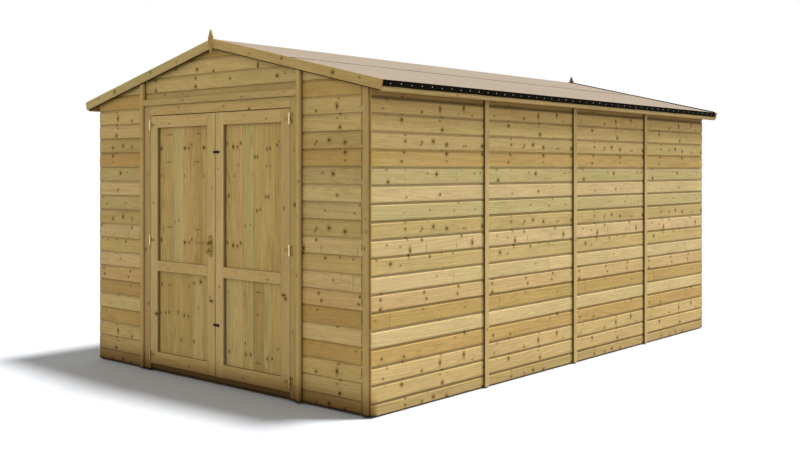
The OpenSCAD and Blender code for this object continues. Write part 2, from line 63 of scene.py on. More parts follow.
class Wire:
    """A socket in a node tree: arithmetic on it adds Math nodes, and node() adds a node of any other kind."""

    def __init__(self, tree, socket=None):
        self.tree = tree
        self.socket = socket

    def node(self, kind, settings={}, sockets={}, out=0):
        made = self.tree.nodes.new(kind)
        for name, value in settings.items():
            setattr(made, name, value)
        for name, value in sockets.items():
            if isinstance(value, Wire):
                self.tree.links.new(value.socket, made.inputs[name])
            else:
                made.inputs[name].default_value = value
        return Wire(self.tree, made.outputs[out] if made.outputs else None)

    def other(self, out):
        return Wire(self.tree, self.socket.node.outputs[out])

    def math(self, operation, first, second=0.0):
        return self.node("ShaderNodeMath", {"operation": operation}, {0: first, 1: second})

    def __add__(self, other):
        return self.math("ADD", self, other)

    def __radd__(self, other):
        return self.math("ADD", other, self)

    def __sub__(self, other):
        return self.math("SUBTRACT", self, other)

    def __rsub__(self, other):
        return self.math("SUBTRACT", other, self)

    def __mul__(self, other):
        return self.math("MULTIPLY", self, other)

    def __rmul__(self, other):
        return self.math("MULTIPLY", other, self)

    def __pow__(self, other):
        return self.math("POWER", self, other)


def new_tree(owner):
    """An owner's node tree, emptied, as a Wire to start from."""
    owner.use_nodes = True
    owner.node_tree.nodes.clear()
    return Wire(owner.node_tree)


def in_view(wire):
    """1 for rays that show a thing straight, in a gloss or through glass, and 0 for rays that carry light."""
    ray = wire.node("ShaderNodeLightPath", out="Is Camera Ray")
    return wire.math("MINIMUM", ray + ray.other("Is Glossy Ray") + ray.other("Is Transmission Ray"), 1.0)


def mix(share, first, second):
    """The two colours mixed, from all first at 0 to all second at 1."""
    return share.node("ShaderNodeMix", {"data_type": "RGBA"}, {0: share, 6: first, 7: second}, out=2)


camera = bpy.data.cameras.new("view")
camera.sensor_width = 36.0
camera.lens = view_lens
camera.shift_y = view_drop
camera.clip_end = 4 * ground_reach
view = bpy.data.objects.new("view", camera)
view.location = view_place
view.rotation_euler = (np.pi / 2, 0, view_turn)
bpy.context.scene.collection.objects.link(view)
bpy.context.scene.camera = view
bpy.context.scene.view_settings.view_transform = "Standard"

sun = bpy.data.lights.new("sun", "SUN")
sun.energy = sun_strength
sun.color = sun_cast
sun.angle = sun_width
sun_object = bpy.data.objects.new("sun", sun)
sun_object.rotation_euler = sun_from.to_track_quat("Z", "Y").to_euler()
bpy.context.scene.collection.objects.link(sun_object)

world = bpy.data.worlds.new("studio")
bpy.context.scene.world = world
sky = new_tree(world)
seen = in_view(sky)
toward = sky.node("ShaderNodeSeparateXYZ", {}, {0: sky.node("ShaderNodeTexCoord", out="Generated")}, out="Z")
glow = sky_strength * (1.0 - sky_fall * sky.math("MAXIMUM", toward, 0.0))
white = (1.0, 1.0, 1.0, 1.0)
hue = mix(seen, sky_cast, white)
strength = glow + (1.0 - glow) * seen
shine = sky.node("ShaderNodeBackground", {}, {"Color": hue, "Strength": strength})
sky.node("ShaderNodeOutputWorld", {}, {"Surface": shine})

ground_mesh = bpy.data.meshes.new("ground")
corner = ground_reach * np.array([[-1, -1, 0], [1, -1, 0], [1, 1, 0], [-1, 1, 0]])
ground_mesh.from_pydata(corner.tolist(), [], [[0, 1, 2, 3]])
ground_finish = bpy.data.materials.new("white_ground")
ground_tree = new_tree(ground_finish)
pale = mix(in_view(ground_tree), ground_bounce, ground_seen)
matt = ground_tree.node("ShaderNodeBsdfDiffuse", {}, {"Color": pale})
ground_tree.node("ShaderNodeOutputMaterial", {}, {"Surface": matt})
ground_mesh.materials.append(ground_finish)
ground = bpy.data.objects.new("ground", ground_mesh)
bpy.context.scene.collection.objects.link(ground)


# Floor
# Planed floor boards run the length of the shed and are nailed to sawn joists, whose ends show below the side
# walls. All the timber is softwood, pressure treated to a straw colour with a green cast.
floor_board_w = 0.119
plank_gap = 0.0006
saw_ease = 0.0008


def linear(red, green, blue):
    """A colour as it looks on a screen, from 0 to 255, in the linear values that shaders take."""
    share = np.array([red, green, blue]) / 255.0
    return np.where(share <= 0.04045, share / 12.92, ((share + 0.055) / 1.055) ** 2.4)


treated = np.array([1.05, 1.0, 0.985])
straw = treated * linear(213, 188, 134)
tan = treated * linear(206, 179, 121)
rose = treated * linear(200, 170, 117)
olive = treated * linear(190, 165, 108)
sage = treated * linear(193, 174, 119)
fawn = treated * linear(195, 163, 100)


def opaque(colour):
    """The colour with an alpha of 1."""
    return (*map(float, colour), 1.0)


def tinted(colour, cast):
    """The colour times a cast."""
    return colour.node("ShaderNodeVectorMath", {"operation": "MULTIPLY"}, {0: colour, 1: cast})


def fade(value, low, high):
    """A smooth step from 0 at low to 1 at high."""
    settings = {"interpolation_type": "SMOOTHSTEP"}
    return value.node("ShaderNodeMapRange", settings, {"Value": value, "From Min": low, "From Max": high})


def noise(wire, across, scale=1.0, detail=2.0, rough=0.5):
    """Smooth noise, from 0 to 1, over a vector."""
    sockets = {"Vector": across, "Scale": scale, "Detail": detail, "Roughness": rough}
    return wire.node("ShaderNodeTexNoise", {}, sockets)


def point(x, y, z):
    """A vector of three values, at least one of them a Wire."""
    wire = next(v for v in (x, y, z) if isinstance(v, Wire))
    return wire.node("ShaderNodeCombineXYZ", {}, {0: x, 1: y, 2: z})


def axes(vector):
    """The x, y and z of a vector."""
    parts = vector.node("ShaderNodeSeparateXYZ", {}, {0: vector})
    return parts, parts.other(1), parts.other(2)


def surface(wire, finish, colour, rough, height, depth, constants={}):
    """Ends a material: colour, roughness and a bump of the given depth in metres on one Principled shader."""
    bump = wire.node("ShaderNodeBump", {}, {"Strength": 1.0, "Distance": depth, "Height": height})
    sockets = {"Base Color": colour, "Roughness": rough, "Normal": bump, **constants}
    shader = wire.node("ShaderNodeBsdfPrincipled", {}, sockets)
    wire.node("ShaderNodeOutputMaterial", {}, {"Surface": shader})
    return finish


def wood_grain(wire, along, across, seed, knot, tint, ring_shade):
    """Flat-sawn softwood. Growth rings are the contour lines of a smooth noise drawn out along the board, and
    they swell round each knot. Returns colour, roughness and height."""
    knot_x, knot_y, knot_depth = knot
    radius = (knot_x * knot_x + knot_y * knot_y) ** 0.5
    ragged = noise(wire, point(along * 110.0, across * 130.0, seed), 1.0, 3.0)
    edge = radius + (ragged - 0.5) * 1.5
    swell = knot_depth * (1.0 - fade(radius, 0.4, 3.4))
    bent = across - knot_y * swell * 0.004
    field = noise(wire, point(along * 0.45, bent * 9.0, seed), 1.0, 1.0, 0.4)
    ring = wire.math("SINE", (field * 19.0 + swell * 1.3) * (2 * np.pi)) * 0.5 + 0.5
    late = ring ** 2.5
    fibre = noise(wire, point(along * 9.0, bent * 420.0, seed), 1.0, 2.0, 0.6)
    streak = noise(wire, point(along * 4.5, bent * 75.0, seed + 3.0), 1.0, 2.0, 0.6)
    blotch = noise(wire, point(along * 22.0, across * 48.0, seed + 19.0), 1.0, 2.0, 0.6)
    drift = noise(wire, point(along * 1.9, across * 11.0, seed + 7.0), 1.0, 2.0)
    cast = noise(wire, point(along * 0.8, across * 4.0, seed + 13.0), 1.0, 1.0)
    shade = 0.85 + drift * 0.32 - late * ring_shade - (fibre - 0.5) * 0.24
    shade = shade + (streak - 0.5) * 0.30 + (blotch - 0.5) * 0.22
    plain = wire.node("ShaderNodeVectorMath", {"operation": "SCALE"}, {0: tint, "Scale": shade})
    warm = tinted(plain, (1.0, 0.94, 0.84))
    green = tinted(plain, (0.97, 1.0, 0.95))
    body = mix(late * 0.5, mix(fade(cast, 0.45, 0.7), plain, green), warm)
    halo = knot_depth * (1.0 - fade(edge, 0.8, 3.5))
    core = knot_depth * (1.0 - fade(edge, 0.62, 1.25))
    ringed = mix(halo * 0.65, body, opaque(linear(138, 106, 56)))
    colour = mix(core, ringed, opaque(linear(66, 45, 12)))
    rough = 0.68 + late * 0.12 + (fibre - 0.5) * 0.2
    height = fibre * 0.5 - late * 0.5 - core * 0.25
    return colour, rough, height


def board_wood(name, ring_shade=0.08, ground_shade=0.0):
    """Timber whose mesh says where its grain runs: attributes grain (along, across, seed), knot and tint.
    Given a share of painted ground shade, the front is painted a little more golden in its shade, darker
    towards the ground by that share, and near black along its lowest edge as a painted contact shadow."""
    finish = bpy.data.materials.new(name)
    wire = new_tree(finish)
    grain, knot, tint = (
        wire.node("ShaderNodeAttribute", {"attribute_name": said}, out="Vector")
        for said in ("grain", "knot", "tint")
    )
    colour, rough, height = wood_grain(wire, *axes(grain), axes(knot), tint, ring_shade)
    if ground_shade:
        _, y, z = axes(wire.node("ShaderNodeTexCoord", {}, {}, out="Object"))
        # Painted shade on the front: warmer in its shade, darker towards the ground, and a painted contact
        # shadow at its foot.
        front_zone, ground_shade_zone, contact_shadow_zone = (-2.29, -2.23), (0.0, 0.20), (0.012, 0.030)
        ahead = 1.0 - fade(y, *front_zone)
        shade_warmed = tinted(colour, (1.02, 1.0, 0.91))
        colour = mix(ahead, colour, shade_warmed)
        shaded_colour = tinted(colour, (0.30, 0.22, 0.13))
        ground_shaded = mix((1.0 - fade(z, *ground_shade_zone)) * ahead * ground_shade, colour, shaded_colour)
        colour = mix((1.0 - fade(z, *contact_shadow_zone)) * ahead, ground_shaded, opaque(linear(22, 16, 8)))
    return surface(wire, finish, colour, rough, height, 0.0007, {"Specular IOR Level": 0.14})


def sawn_wood(name, run, tint, ring_shade=0.10):
    """Timber of the frame, with its grain along one axis of the shed; run is 0, 1 or 2 for x, y or z."""
    finish = bpy.data.materials.new(name)
    wire = new_tree(finish)
    place = axes(wire.node("ShaderNodeTexCoord", {}, {}, out="Object"))
    along = place[run]
    first, second = (place[axis] for axis in range(3) if axis != run)
    lot = noise(wire, point(first * 3.1, second * 2.7, 0.0), 1.0, 0.0) * 6.0
    cell = point(along * 2.6, first * 9.0, second * 9.0)
    away = wire.node("ShaderNodeTexVoronoi", {}, {"Vector": cell, "Scale": 1.0})
    knot = (away * 9.0, 0.0, wire.math("LESS_THAN", away, 0.4))
    base = wire.node("ShaderNodeCombineXYZ", {}, dict(enumerate(map(float, tint))))
    colour, rough, height = wood_grain(wire, along, first + second * 0.8, lot, knot, base, ring_shade)
    return surface(wire, finish, colour, rough, height, 0.0009, {"Specular IOR Level": 0.25})


def dress(finish, *names):
    """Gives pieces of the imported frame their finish."""
    for name in names:
        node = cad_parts[name]
        for slot in node.material_slots:
            slot.material = finish


def planed(width, depth, ease, rows=0, side_rows=0):
    """Section of a planed timber as (across, out) points, anticlockwise: a rectangle from 0 to width across
    and from -depth to 0 out, with eased edges, and more rows of points across the front and up both sides."""
    near, far, deep = ease, width - ease, ease - depth
    arcs = []
    for across, out, first in ((near, deep, 180), (far, deep, 270), (far, -ease, 0), (near, -ease, 90)):
        turn = np.radians(first + np.linspace(0, 90, 3))
        arcs.append(np.stack([across + ease * np.cos(turn), out + ease * np.sin(turn)], -1))
    front = np.stack([np.linspace(width - ease, ease, rows + 2)[1:-1], np.zeros(rows)], -1)
    side = np.linspace(ease - depth, -ease, side_rows + 2)[1:-1]
    right_side = np.stack([np.full(side_rows, width), side], -1)
    left_side = np.stack([np.zeros(side_rows), side[::-1]], -1)
    return np.concatenate([arcs[0], arcs[1], right_side, arcs[2], front, arcs[3], left_side])


def ring_faces(rows, count):
    """Corners of the four-sided faces between neighbouring rows of points, each row a closed ring."""
    row, column = np.meshgrid(np.arange(rows - 1), np.arange(count), indexing="ij")
    after = (column + 1) % count
    this, following = row * count, (row + 1) * count
    return np.stack([this + column, this + after, following + after, following + column], -1).reshape(-1, 4)


no_knot = [9.0, 9.0, 0.0]
end_cast = np.array([0.86, 0.80, 0.72])


def timber(section, start, stop, place, tint, seed, knots=(), shade=1.0):
    """One straight timber: the closed section, as (across, out) points, is carried along a line. The point
    at share t is along * (start + t * (stop - start)) + across * section[0] + out * section[1] + origin,
    where place has those four vectors as rows. start and stop are numbers, or one for each point of the
    section where an end is cut on a slope. Knots are rows of along, across, half length, half width and depth
    of colour, and each face takes the nearest. The tint is one colour, or one for each point of the section,
    and shade changes it there."""
    place = np.asarray(place, float)
    count = len(section)
    start = np.broadcast_to(np.asarray(start, float), count)
    stop = np.broadcast_to(np.asarray(stop, float), count)
    knots = np.asarray(knots, float).reshape(-1, 5)
    at = np.sort(knots[:, 0])
    at = at[(at > start.min()) & (at < stop.max())]
    middle = (at[1:] + at[:-1]) / 2
    middle = middle[np.diff(at) > 0.004]
    share = np.concatenate([[0.0], (middle - start.min()) / (stop.max() - start.min()), [1.0]])
    along = start + share[:, None] * (stop - start)
    across = np.broadcast_to(section[:, 0], along.shape)
    out = np.broadcast_to(section[:, 1], along.shape)
    points = np.stack([along, across, out], -1).reshape(-1, 3) @ place[:3] + place[3]
    corners = ring_faces(len(share), count)
    girth = np.concatenate([[0.0], np.cumsum(np.hypot(*np.diff(section[np.r_[0:count, 0]], axis=0).T))])
    column = np.tile(np.arange(count), len(share) - 1)
    unrolled = np.stack([girth[column], girth[column + 1], girth[column + 1], girth[column]], -1)
    along_corner = along.ravel()[corners]
    across_corner = across.ravel()[corners]
    grain = np.stack([along_corner, unrolled, np.full(corners.shape, seed)], -1)
    knot = np.broadcast_to(no_knot, grain.shape).copy()
    if len(knots):
        ahead = along_corner.mean(1)[:, None] - knots[:, 0]
        aside = across_corner.mean(1)[:, None] - knots[:, 1]
        near = knots[np.hypot(ahead, 1.6 * aside).argmin(1)][:, None, :]
        knot[..., 0] = (along_corner - near[..., 0]) / near[..., 2]
        knot[..., 1] = (across_corner - near[..., 1]) / near[..., 3]
        knot[..., 2] = near[..., 4]
    shade = np.asarray(shade, float)
    shade = shade[:, None] if shade.ndim == 1 else shade
    shaded = np.broadcast_to(tint * shade, (count, 3))[corners % count]
    caps = np.stack([np.arange(count)[::-1], (len(share) - 1) * count + np.arange(count)])
    cap_across = section[caps % count]
    cap_grain = np.stack([cap_across[..., 1] * 0.3, cap_across[..., 0], np.full(caps.shape, seed + 3.0)], -1)
    x, y = section.T
    turned = np.linalg.det(place[:3]) * np.sum(x * np.roll(y, -1) - np.roll(x, -1) * y)
    step = 1 if turned > 0 else -1
    corners, grain, knot, shaded = corners[:, ::step], grain[:, ::step], knot[:, ::step], shaded[:, ::step]
    caps, cap_grain = caps[:, ::step], cap_grain[:, ::step]
    size = np.concatenate([np.full(len(corners), 4), np.full(2, count)])
    end_tint = np.reshape(tint, (-1, 3)).mean(0) * end_cast
    return {
        "points": points,
        "corners": np.concatenate([corners.ravel(), caps.ravel()]),
        "size": size,
        "grain": np.concatenate([grain.reshape(-1, 3), cap_grain.reshape(-1, 3)]),
        "knot": np.concatenate([knot.reshape(-1, 3), np.broadcast_to(no_knot, (caps.size, 3))]),
        "tint": np.concatenate([shaded.reshape(-1, 3), np.broadcast_to(end_tint, (caps.size, 3))]),
    }


def piece(name, parts, finish, body, slot, *nodes):
    """Joins parts into one object, which rides on a body and stands for the nodes named."""
    mesh = bpy.data.meshes.new(name)
    first = np.cumsum([0] + [len(part["points"]) for part in parts])
    points = np.concatenate([part["points"] for part in parts])
    corners = np.concatenate([part["corners"] + skip for part, skip in zip(parts, first)])
    size = np.concatenate([part["size"] for part in parts])
    mesh.vertices.add(len(points))
    mesh.vertices.foreach_set("co", points.ravel())
    mesh.loops.add(len(corners))
    mesh.loops.foreach_set("vertex_index", corners)
    mesh.polygons.add(len(size))
    mesh.polygons.foreach_set("loop_start", np.cumsum(size) - size)
    mesh.update(calc_edges=True)
    for said in sorted(parts[0].keys() - {"points", "corners", "size"}):
        values = np.concatenate([part[said] for part in parts]).astype(np.float32)
        mesh.attributes.new(said, "FLOAT_VECTOR", "CORNER").data.foreach_set("vector", values.ravel())
    mesh.shade_smooth()
    mesh.set_sharp_from_angle(angle=np.radians(40))
    mesh.materials.append(finish)
    made = bpy.data.objects.new(name, mesh)
    bpy.context.scene.collection.objects.link(made)
    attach(made, body)
    if nodes:
        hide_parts(*nodes)
    return made


right, left, up, back, front = np.array([[1, 0, 0], [-1, 0, 0], [0, 0, 1], [0, 1, 0], [0, -1, 0]], float)
chance = np.random.default_rng(15)

floor_low, floor_high = map(np.array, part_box("floor_boards"))
floor_count = round((floor_high[0] - floor_low[0]) / floor_board_w)
floor_cover = (floor_high[0] - floor_low[0]) / floor_count
floor_section = planed(floor_cover - plank_gap, floor_high[2] - floor_low[2], saw_ease)
floor_parts = [
    timber(
        floor_section, floor_low[1], floor_high[1],
        [back, right, up, (floor_low[0] + k * floor_cover, 0, floor_high[2])],
        straw * chance.uniform(0.88, 1.0), chance.uniform(0, 90),
    )
    for k in range(floor_count)
]
floor_wood = board_wood("floor_board_wood")
piece("floor_planks", floor_parts, floor_wood, "shed", "floor_timber", "floor_boards")
dress(sawn_wood("joist_wood", 0, olive * 0.3), "floor_joists")


# Wall frames
# Sawn studs and rails stand behind the boards of every panel, which are nailed to them.
# They show only from inside, through the open doors.
dress(sawn_wood("stud_wood", 2, tan), "right_studs", "left_studs", "front_studs", "back_studs")
dress(sawn_wood("side_rail_wood", 1, tan), "right_rails", "left_rails")
dress(sawn_wood("gable_rail_wood", 0, tan), "front_rails", "back_rails")


# Weatherboards
# Shiplap boards with a cove planed along the top edge, each tucked behind the rebate of the board above and
# nailed to the studs. Every panel is sawn from the same batch, so its boards come in one order, from the
# ground up.
board_cover = 0.1095
first_joint = 0.094
cove_height = 0.020
cove_depth = 0.006
cove_lip = 0.0025
rebate_height = 0.008
rebate_play = 0.0004
# Painted shade down the five points of each cove; on the sunlit side walls also a painted highlight at the
# cove's foot.
cove_painted_shade = (0.72, 0.68, 0.88, 0.98, 0.82)
sunlit_cove_painted_light = (0.78, 0.62, 0.64, 0.80, 1.10)
board_ease = 0.0015
face_rows = 12
butt_gap = 0.0028
top_play = 0.002
side_drop = 0.0035
corner_line = 0.065
pin = (0.0040, 0.0026, 0.55)
small = (0.0060, 0.0044, 0.68)
sound = (0.0078, 0.0064, 0.82)
large = (0.0098, 0.0090, 0.88)
tall = (0.0075, 0.0140, 0.95)
split = (0.0018, 0.0140, 0.7)
dash = (0.0035, 0.0200, 0.6)
painted_shadow_line = (0.0026, 0.0420, 0.8)
knotty_row = [
    (0.27, 0.81, small), (0.27, 0.45, sound), (0.41, 0.40, sound), (0.40, 0.26, small), (0.51, 0.48, large),
    (0.63, 0.32, large), (0.79, 0.24, small), (0.81, 0.27, small), (0.97, 0.29, large), (0.46, 0.80, pin),
]
batch = [
    (olive, 1.02, knotty_row, None),
    (tan, 0.97, [
        (0.24, 0.66, large), (0.25, 0.98, small), (0.59, 0.96, sound), (0.57, 0.70, small),
        (0.64, 0.70, pin), (0.59, 0.19, large), (0.98, 0.49, small), (0.11, 0.78, pin),
    ], None),
    (tan, 1.00, [
        (0.12, 0.77, small), (0.25, 0.96, sound), (0.09, 0.22, small), (0.41, 0.18, sound),
        (0.57, 0.40, tall), (0.58, 0.83, small), (0.79, 0.57, tall), (0.87, 0.15, small),
        (0.74, 0.23, pin),
    ], None),
    (fawn, 1.00, [
        (0.08, 0.33, sound), (0.26, 0.20, sound), (0.80, 0.90, large), (0.71, 0.71, small),
    ], None),
    (straw, 1.00, [(0.57, 0.92, small), (0.45, 0.90, pin), (0.28, 0.96, pin)], None),
    (fawn, 0.94, [(0.03, 0.51, small), (0.42, 0.74, small), (0.80, 0.44, small)], 0.145),
    (rose, 1.06, [
        (0.08, 0.98, sound), (0.07, 0.62, sound), (0.07, 0.07, large), (0.43, 0.70, sound),
        (0.45, 0.30, sound), (0.24, 0.38, pin), (0.74, 0.76, sound), (0.73, 0.33, sound),
    ], None),
    (straw, 0.98, [(0.54, 0.54, small), (0.66, 0.50, pin), (0.60, 0.87, pin)], 0.69),
    (olive, 1.12, [
        (0.04, 0.83, small), (0.15, 0.54, large), (0.23, 0.40, small), (0.48, 0.75, sound),
        (0.59, 0.87, small), (0.69, 0.80, small), (0.30, 0.97, tall),
    ], None),
    (straw, 0.97, [
        (0.28, 0.97, sound), (0.29, 0.83, small), (0.41, 0.75, sound), (0.77, 0.81, sound),
        (0.87, 0.34, tall), (0.12, 0.61, small), (0.23, 0.45, small), (0.31, 0.21, tall),
        (0.45, 0.30, split), (0.72, 0.28, split),
    ], None),
    (olive, 1.04, knotty_row, None),
    (sage, 1.03, [
        (0.74, 0.82, small), (0.48, 0.46, small), (0.26, 0.37, pin), (0.70, 0.38, small),
        (0.90, 0.38, small),
    ], None),
    (straw, 0.97, [(0.28, 0.26, small), (0.57, 0.35, sound), (0.64, 0.40, pin)], None),
    (sage, 0.97, [
        (0.12, 0.83, small), (0.13, 0.13, large), (0.27, 0.79, pin), (0.27, 0.28, pin),
        (0.54, 0.55, large), (0.46, 0.61, small), (0.72, 0.63, pin), (0.72, 0.23, pin),
        (0.95, 0.61, small), (0.89, 0.57, small),
    ], None),
    (fawn, 0.96, [
        (0.26, 0.81, sound), (0.24, 0.29, sound), (0.63, 0.78, large), (0.97, 0.76, sound),
        (0.63, 0.33, small), (0.59, 0.97, small),
    ], None),
]


def board_section(low, high, thick, whole_foot, whole_head, cove_shade):
    """Section of a weatherboard from low to high, anticlockwise. A whole foot has a rebate that covers the
    board below, and a whole head has the cove, a quarter ellipse, and a tongue behind it."""
    turn = np.radians(np.linspace(0, 90, 5))
    foot = [(low + rebate_height, -thick)] if whole_foot else [(low, -thick)]
    if whole_head:
        tongue = high + rebate_height - rebate_play
        head = [(tongue, -thick), (tongue, -cove_depth)]
        cove = np.stack([high - cove_height * np.sin(turn), -cove_depth * np.cos(turn)], -1)
        face_top = high - cove_height
    else:
        head = [(high, -thick)]
        cove = np.array([(high, 0.0)])
        face_top = high
    face_z = np.concatenate([[face_top - cove_lip], np.linspace(face_top, low + board_ease, face_rows)[1:]])
    face = np.stack([face_z, np.zeros(face_rows)], -1)
    edge = board_ease * np.stack([1 - np.sin(turn[2:]), np.cos(turn[2:]) - 1], -1)
    arris = edge + [low, 0.0]
    inner = rebate_play - cove_depth
    tuck = [(low, inner), (low + rebate_height, inner)] if whole_foot else []
    section = np.concatenate([part for part in (foot, head, cove, face, arris, tuck) if len(part)])
    painted_shade = np.ones(len(section))
    # The cove's points take painted shade, and a painted highlight at its foot where cove_shade asks for one.
    if whole_head:
        painted_shade[3:8] = cove_shade
    return section, painted_shade


def bare(z):
    """No painted light or shade: a factor of 1 at every height."""
    return np.ones((len(z), 3))


def boarded(
    place, thick, low, high, ends, first_row, knot_zero, panel_length, seed,
    height_light=bare, own={}, lines=(), joint=first_joint, cove_shade=cove_painted_shade,
):
    """All boards of one panel between the heights low and high. ends(z) gives where a board starts and stops
    at the height z, and knots are spread over the panel's length from knot_zero. A function of the height
    paints light and shade on the boards, and own gives the knots of a row that differs from the batch. At
    lines a painted shadow runs up the boards."""
    lot = np.random.default_rng(seed)
    parts = []
    lowest = int(np.floor((low - joint) / board_cover + 1e-6))
    highest = int(np.floor((high - joint) / board_cover - 1e-6))
    for row in range(lowest, highest + 1):
        foot = joint + row * board_cover
        head = foot + board_cover
        tint, shade, knots, butt = batch[(row - lowest + first_row) % len(batch)]
        whole_foot, whole_head = foot >= low - 1e-6, head <= high + 1e-6
        span = max(foot, low), min(head, high)
        section, painted_shade = board_section(*span, thick, whole_foot, whole_head, cove_shade)
        start, stop = ends(section[:, 0])
        painted_shade = painted_shade[:, None] * height_light(section[:, 0])
        knots = [(knot_zero + u * panel_length, foot + v * board_cover, *size) for u, v, size in knots]
        knots = [(x, z, *size) for x, z, size in own[row]] if row in own else knots
        # At lines a painted shadow runs up the boards, drawn as a long dark knot.
        knots += [(x, foot + board_cover / 2, *painted_shadow_line) for x in lines]
        cut = None if butt is None else knot_zero + butt * panel_length
        if cut is not None and np.max(start) < cut < np.min(stop):
            spans = [(start, cut - butt_gap / 2), (cut + butt_gap / 2, stop)]
        else:
            spans = [(start, stop)]
        for begin, end in spans:
            colour = tint * shade * lot.uniform(0.98, 1.02, 3)
            parts.append(timber(section, begin, end, place, colour, lot.uniform(0, 90), knots, painted_shade))
    return parts


weather_wood = board_wood("weatherboard_wood", ground_shade=0.95)
wall_low, wall_high = map(np.array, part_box("right_wall"))
wall_thick = wall_high[0] - wall_low[0]
panel_count = 4
panel_length = (wall_high[1] - wall_low[1]) / panel_count
panel_gap = 0.002


def side_painted_light(z):
    """Painted light and shade of a side board at the height z: boards in the eaves' shadow are painted paler,
    the topmost warmer, the lowest a little darker, a painted shade line lies below the fascia, and the whole
    wall is painted a little lighter and cooler."""
    heights = [0.09, 0.11, 1.38, 1.44, 1.58, 1.69, 1.76, 1.80, 1.918, 1.926, 1.934, 1.942, 1.952]
    shades = [0.92, 1.0, 1.0, 1.10, 1.29, 1.36, 1.17, 0.98, 0.94, 0.34, 0.34, 0.94, 0.94]
    # Painted light lifts the boards in the eaves' shadow; painted shade darkens the foot and a line below the
    # fascia.
    pale = np.interp(z, heights, shades)
    warm = np.interp(z, [1.70, 1.80, 1.90], [0.0, 0.6, 0.9])
    cast = np.array([1.025, 1.065, 1.095])
    return cast * pale[:, None] * (1.0 - warm[:, None] * [0.0, 0.10, 0.24])


def side_wall(face, first_row, seed):
    """The four panels of a side wall, from one batch; face is 1 for the right wall and -1 for the left."""
    parts = []
    for panel in range(panel_count):
        begin = wall_low[1] + panel * panel_length
        start = begin + (panel_gap / 2 if panel else 0.0)
        stop = begin + panel_length - (panel_gap / 2 if panel < panel_count - 1 else 0.0)
        place = [back, up, face * right, (face * wall_high[0], 0, 0)]
        parts += boarded(
            place, wall_thick, wall_low[2], wall_high[2] - side_drop,
            lambda z: (np.full(len(z), start), np.full(len(z), stop)),
            first_row, begin, panel_length, seed, side_painted_light,
            joint=first_joint - side_drop, cove_shade=sunlit_cove_painted_light,
        )
    return parts


piece("right_weatherboards", side_wall(1, 0, 31), weather_wood, "shed", "weatherboard", "right_wall")
piece("left_weatherboards", side_wall(-1, 4, 47), weather_wood, "shed", "weatherboard", "left_wall")

pitch = np.radians(13.25)
gable_low, gable_high = map(np.array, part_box("front_gable"))
side_low, side_high = map(np.array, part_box("front_wall_right"))
gable_knots = {
    18: [
        (-0.715, 2.150, sound), (-0.715, 2.080, large), (-0.240, 2.145, sound), (-0.240, 2.084, large),
        (0.140, 2.120, sound), (0.620, 2.110, large), (0.695, 2.120, small),
    ],
    19: [
        (-0.470, 2.225, sound), (-0.225, 2.205, large), (-0.040, 2.184, sound), (0.430, 2.190, tall),
    ],
}
gable_top = gable_high[2] - top_play


def under_roof(z):
    """Distance from the middle at which the roof's slope is at the height z."""
    return np.maximum((gable_high[2] - z) / np.tan(pitch), 0.001)


def beside_doors(z):
    """Ends of a board from the doorway to the corner, or to the roof's slope if that is nearer."""
    stop = np.minimum(side_high[0], under_roof(z))
    start = np.full(len(z), side_low[0])
    return start, np.maximum(stop, start + 0.001)


def over_doors(z):
    """Ends of a board over the doors, as far either way as the gable or the roof's slope goes."""
    reach = np.minimum(gable_high[0], under_roof(z))
    return -reach, reach


front_face = side_low[1]
# A painted shadow runs up the right front boards a little way in from the corner strip.
corner_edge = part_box("front_cover_strips")[1][0] - corner_line
for name, way, knot_zero, seed, lines in (
    ("right", right, 0.515, 53, [corner_edge]),
    ("left", left, 0.553, 59, []),
):
    parts = boarded(
        [way, up, front, (0, front_face, 0)], wall_thick, side_low[2], side_high[2] - top_play,
        beside_doors, 0, knot_zero, panel_length, seed, lines=lines,
    )
    piece(f"front_{name}_weatherboards", parts, weather_wood, "shed", "weatherboard", f"front_wall_{name}")
gable_parts = boarded(
    [right, up, front, (0, front_face, 0)], wall_thick, gable_low[2], gable_top,
    over_doors, 0, -0.92, panel_length, 61, own=gable_knots,
)
piece("front_gable_weatherboards", gable_parts, weather_wood, "shed", "weatherboard", "front_gable")

back_low, back_high = map(np.array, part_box("back_wall"))
strip_w = 0.045
back_joint = gable_high[0] + strip_w / 2
back_parts = []
for begin, end, zero, seed in (
    (back_low[0], -back_joint - panel_gap / 2, back_low[0], 67),
    (-back_joint + panel_gap / 2, back_joint - panel_gap / 2, -back_joint, 71),
    (back_joint + panel_gap / 2, back_high[0], back_joint, 73),
):
    def across_back(z):
        """Ends of a board of one back panel, cut short by the roof's slope."""
        reach = under_roof(z)
        start = np.clip(np.full(len(z), begin), -reach, reach - 0.001)
        return start, np.maximum(np.clip(np.full(len(z), end), -reach, reach), start + 0.001)

    top = gable_high[2] - min(abs(begin), abs(end)) * np.tan(pitch) if begin * end > 0 else gable_top
    back_parts += boarded(
        [right, up, back, (0, back_high[1], 0)], wall_thick, back_low[2], top - top_play,
        across_back, 2, zero, panel_length, seed,
    )
piece("back_weatherboards", back_parts, weather_wood, "shed", "weatherboard", "back_wall")


# Cover strips
# Planed strips nailed over the joints between panels, at the corners of the gables and beside the doors,
# where they are slimmer. Each is cut off under the roof's slope. The front's left corner shows the ends of
# the side boards.
strip_ease = 0.002
strip_t = 0.016
strip_clear = 0.004
door_strip_w = 0.031
trim_wood = board_wood("planed_trim_wood", 0.06, ground_shade=1.0)


def painted_side_shade(section, dark=0.4, reach=1.0):
    """Painted shade on a planed timber's sawn sides, darkest in the corner behind them. The painted shade
    reaches up a share of the side."""
    face, foot = section[:, 1].max(), section[:, 1].min()
    top = foot + reach * (face - 0.7 * strip_ease - foot)
    clean = min(top + 0.15 * (face - foot), face)
    heights = [foot, (foot + top) / 2, top, clean, face]
    return np.interp(section[:, 1], heights, [0.6 * dark, dark, 1.2 * dark, 1.0, 1.0])


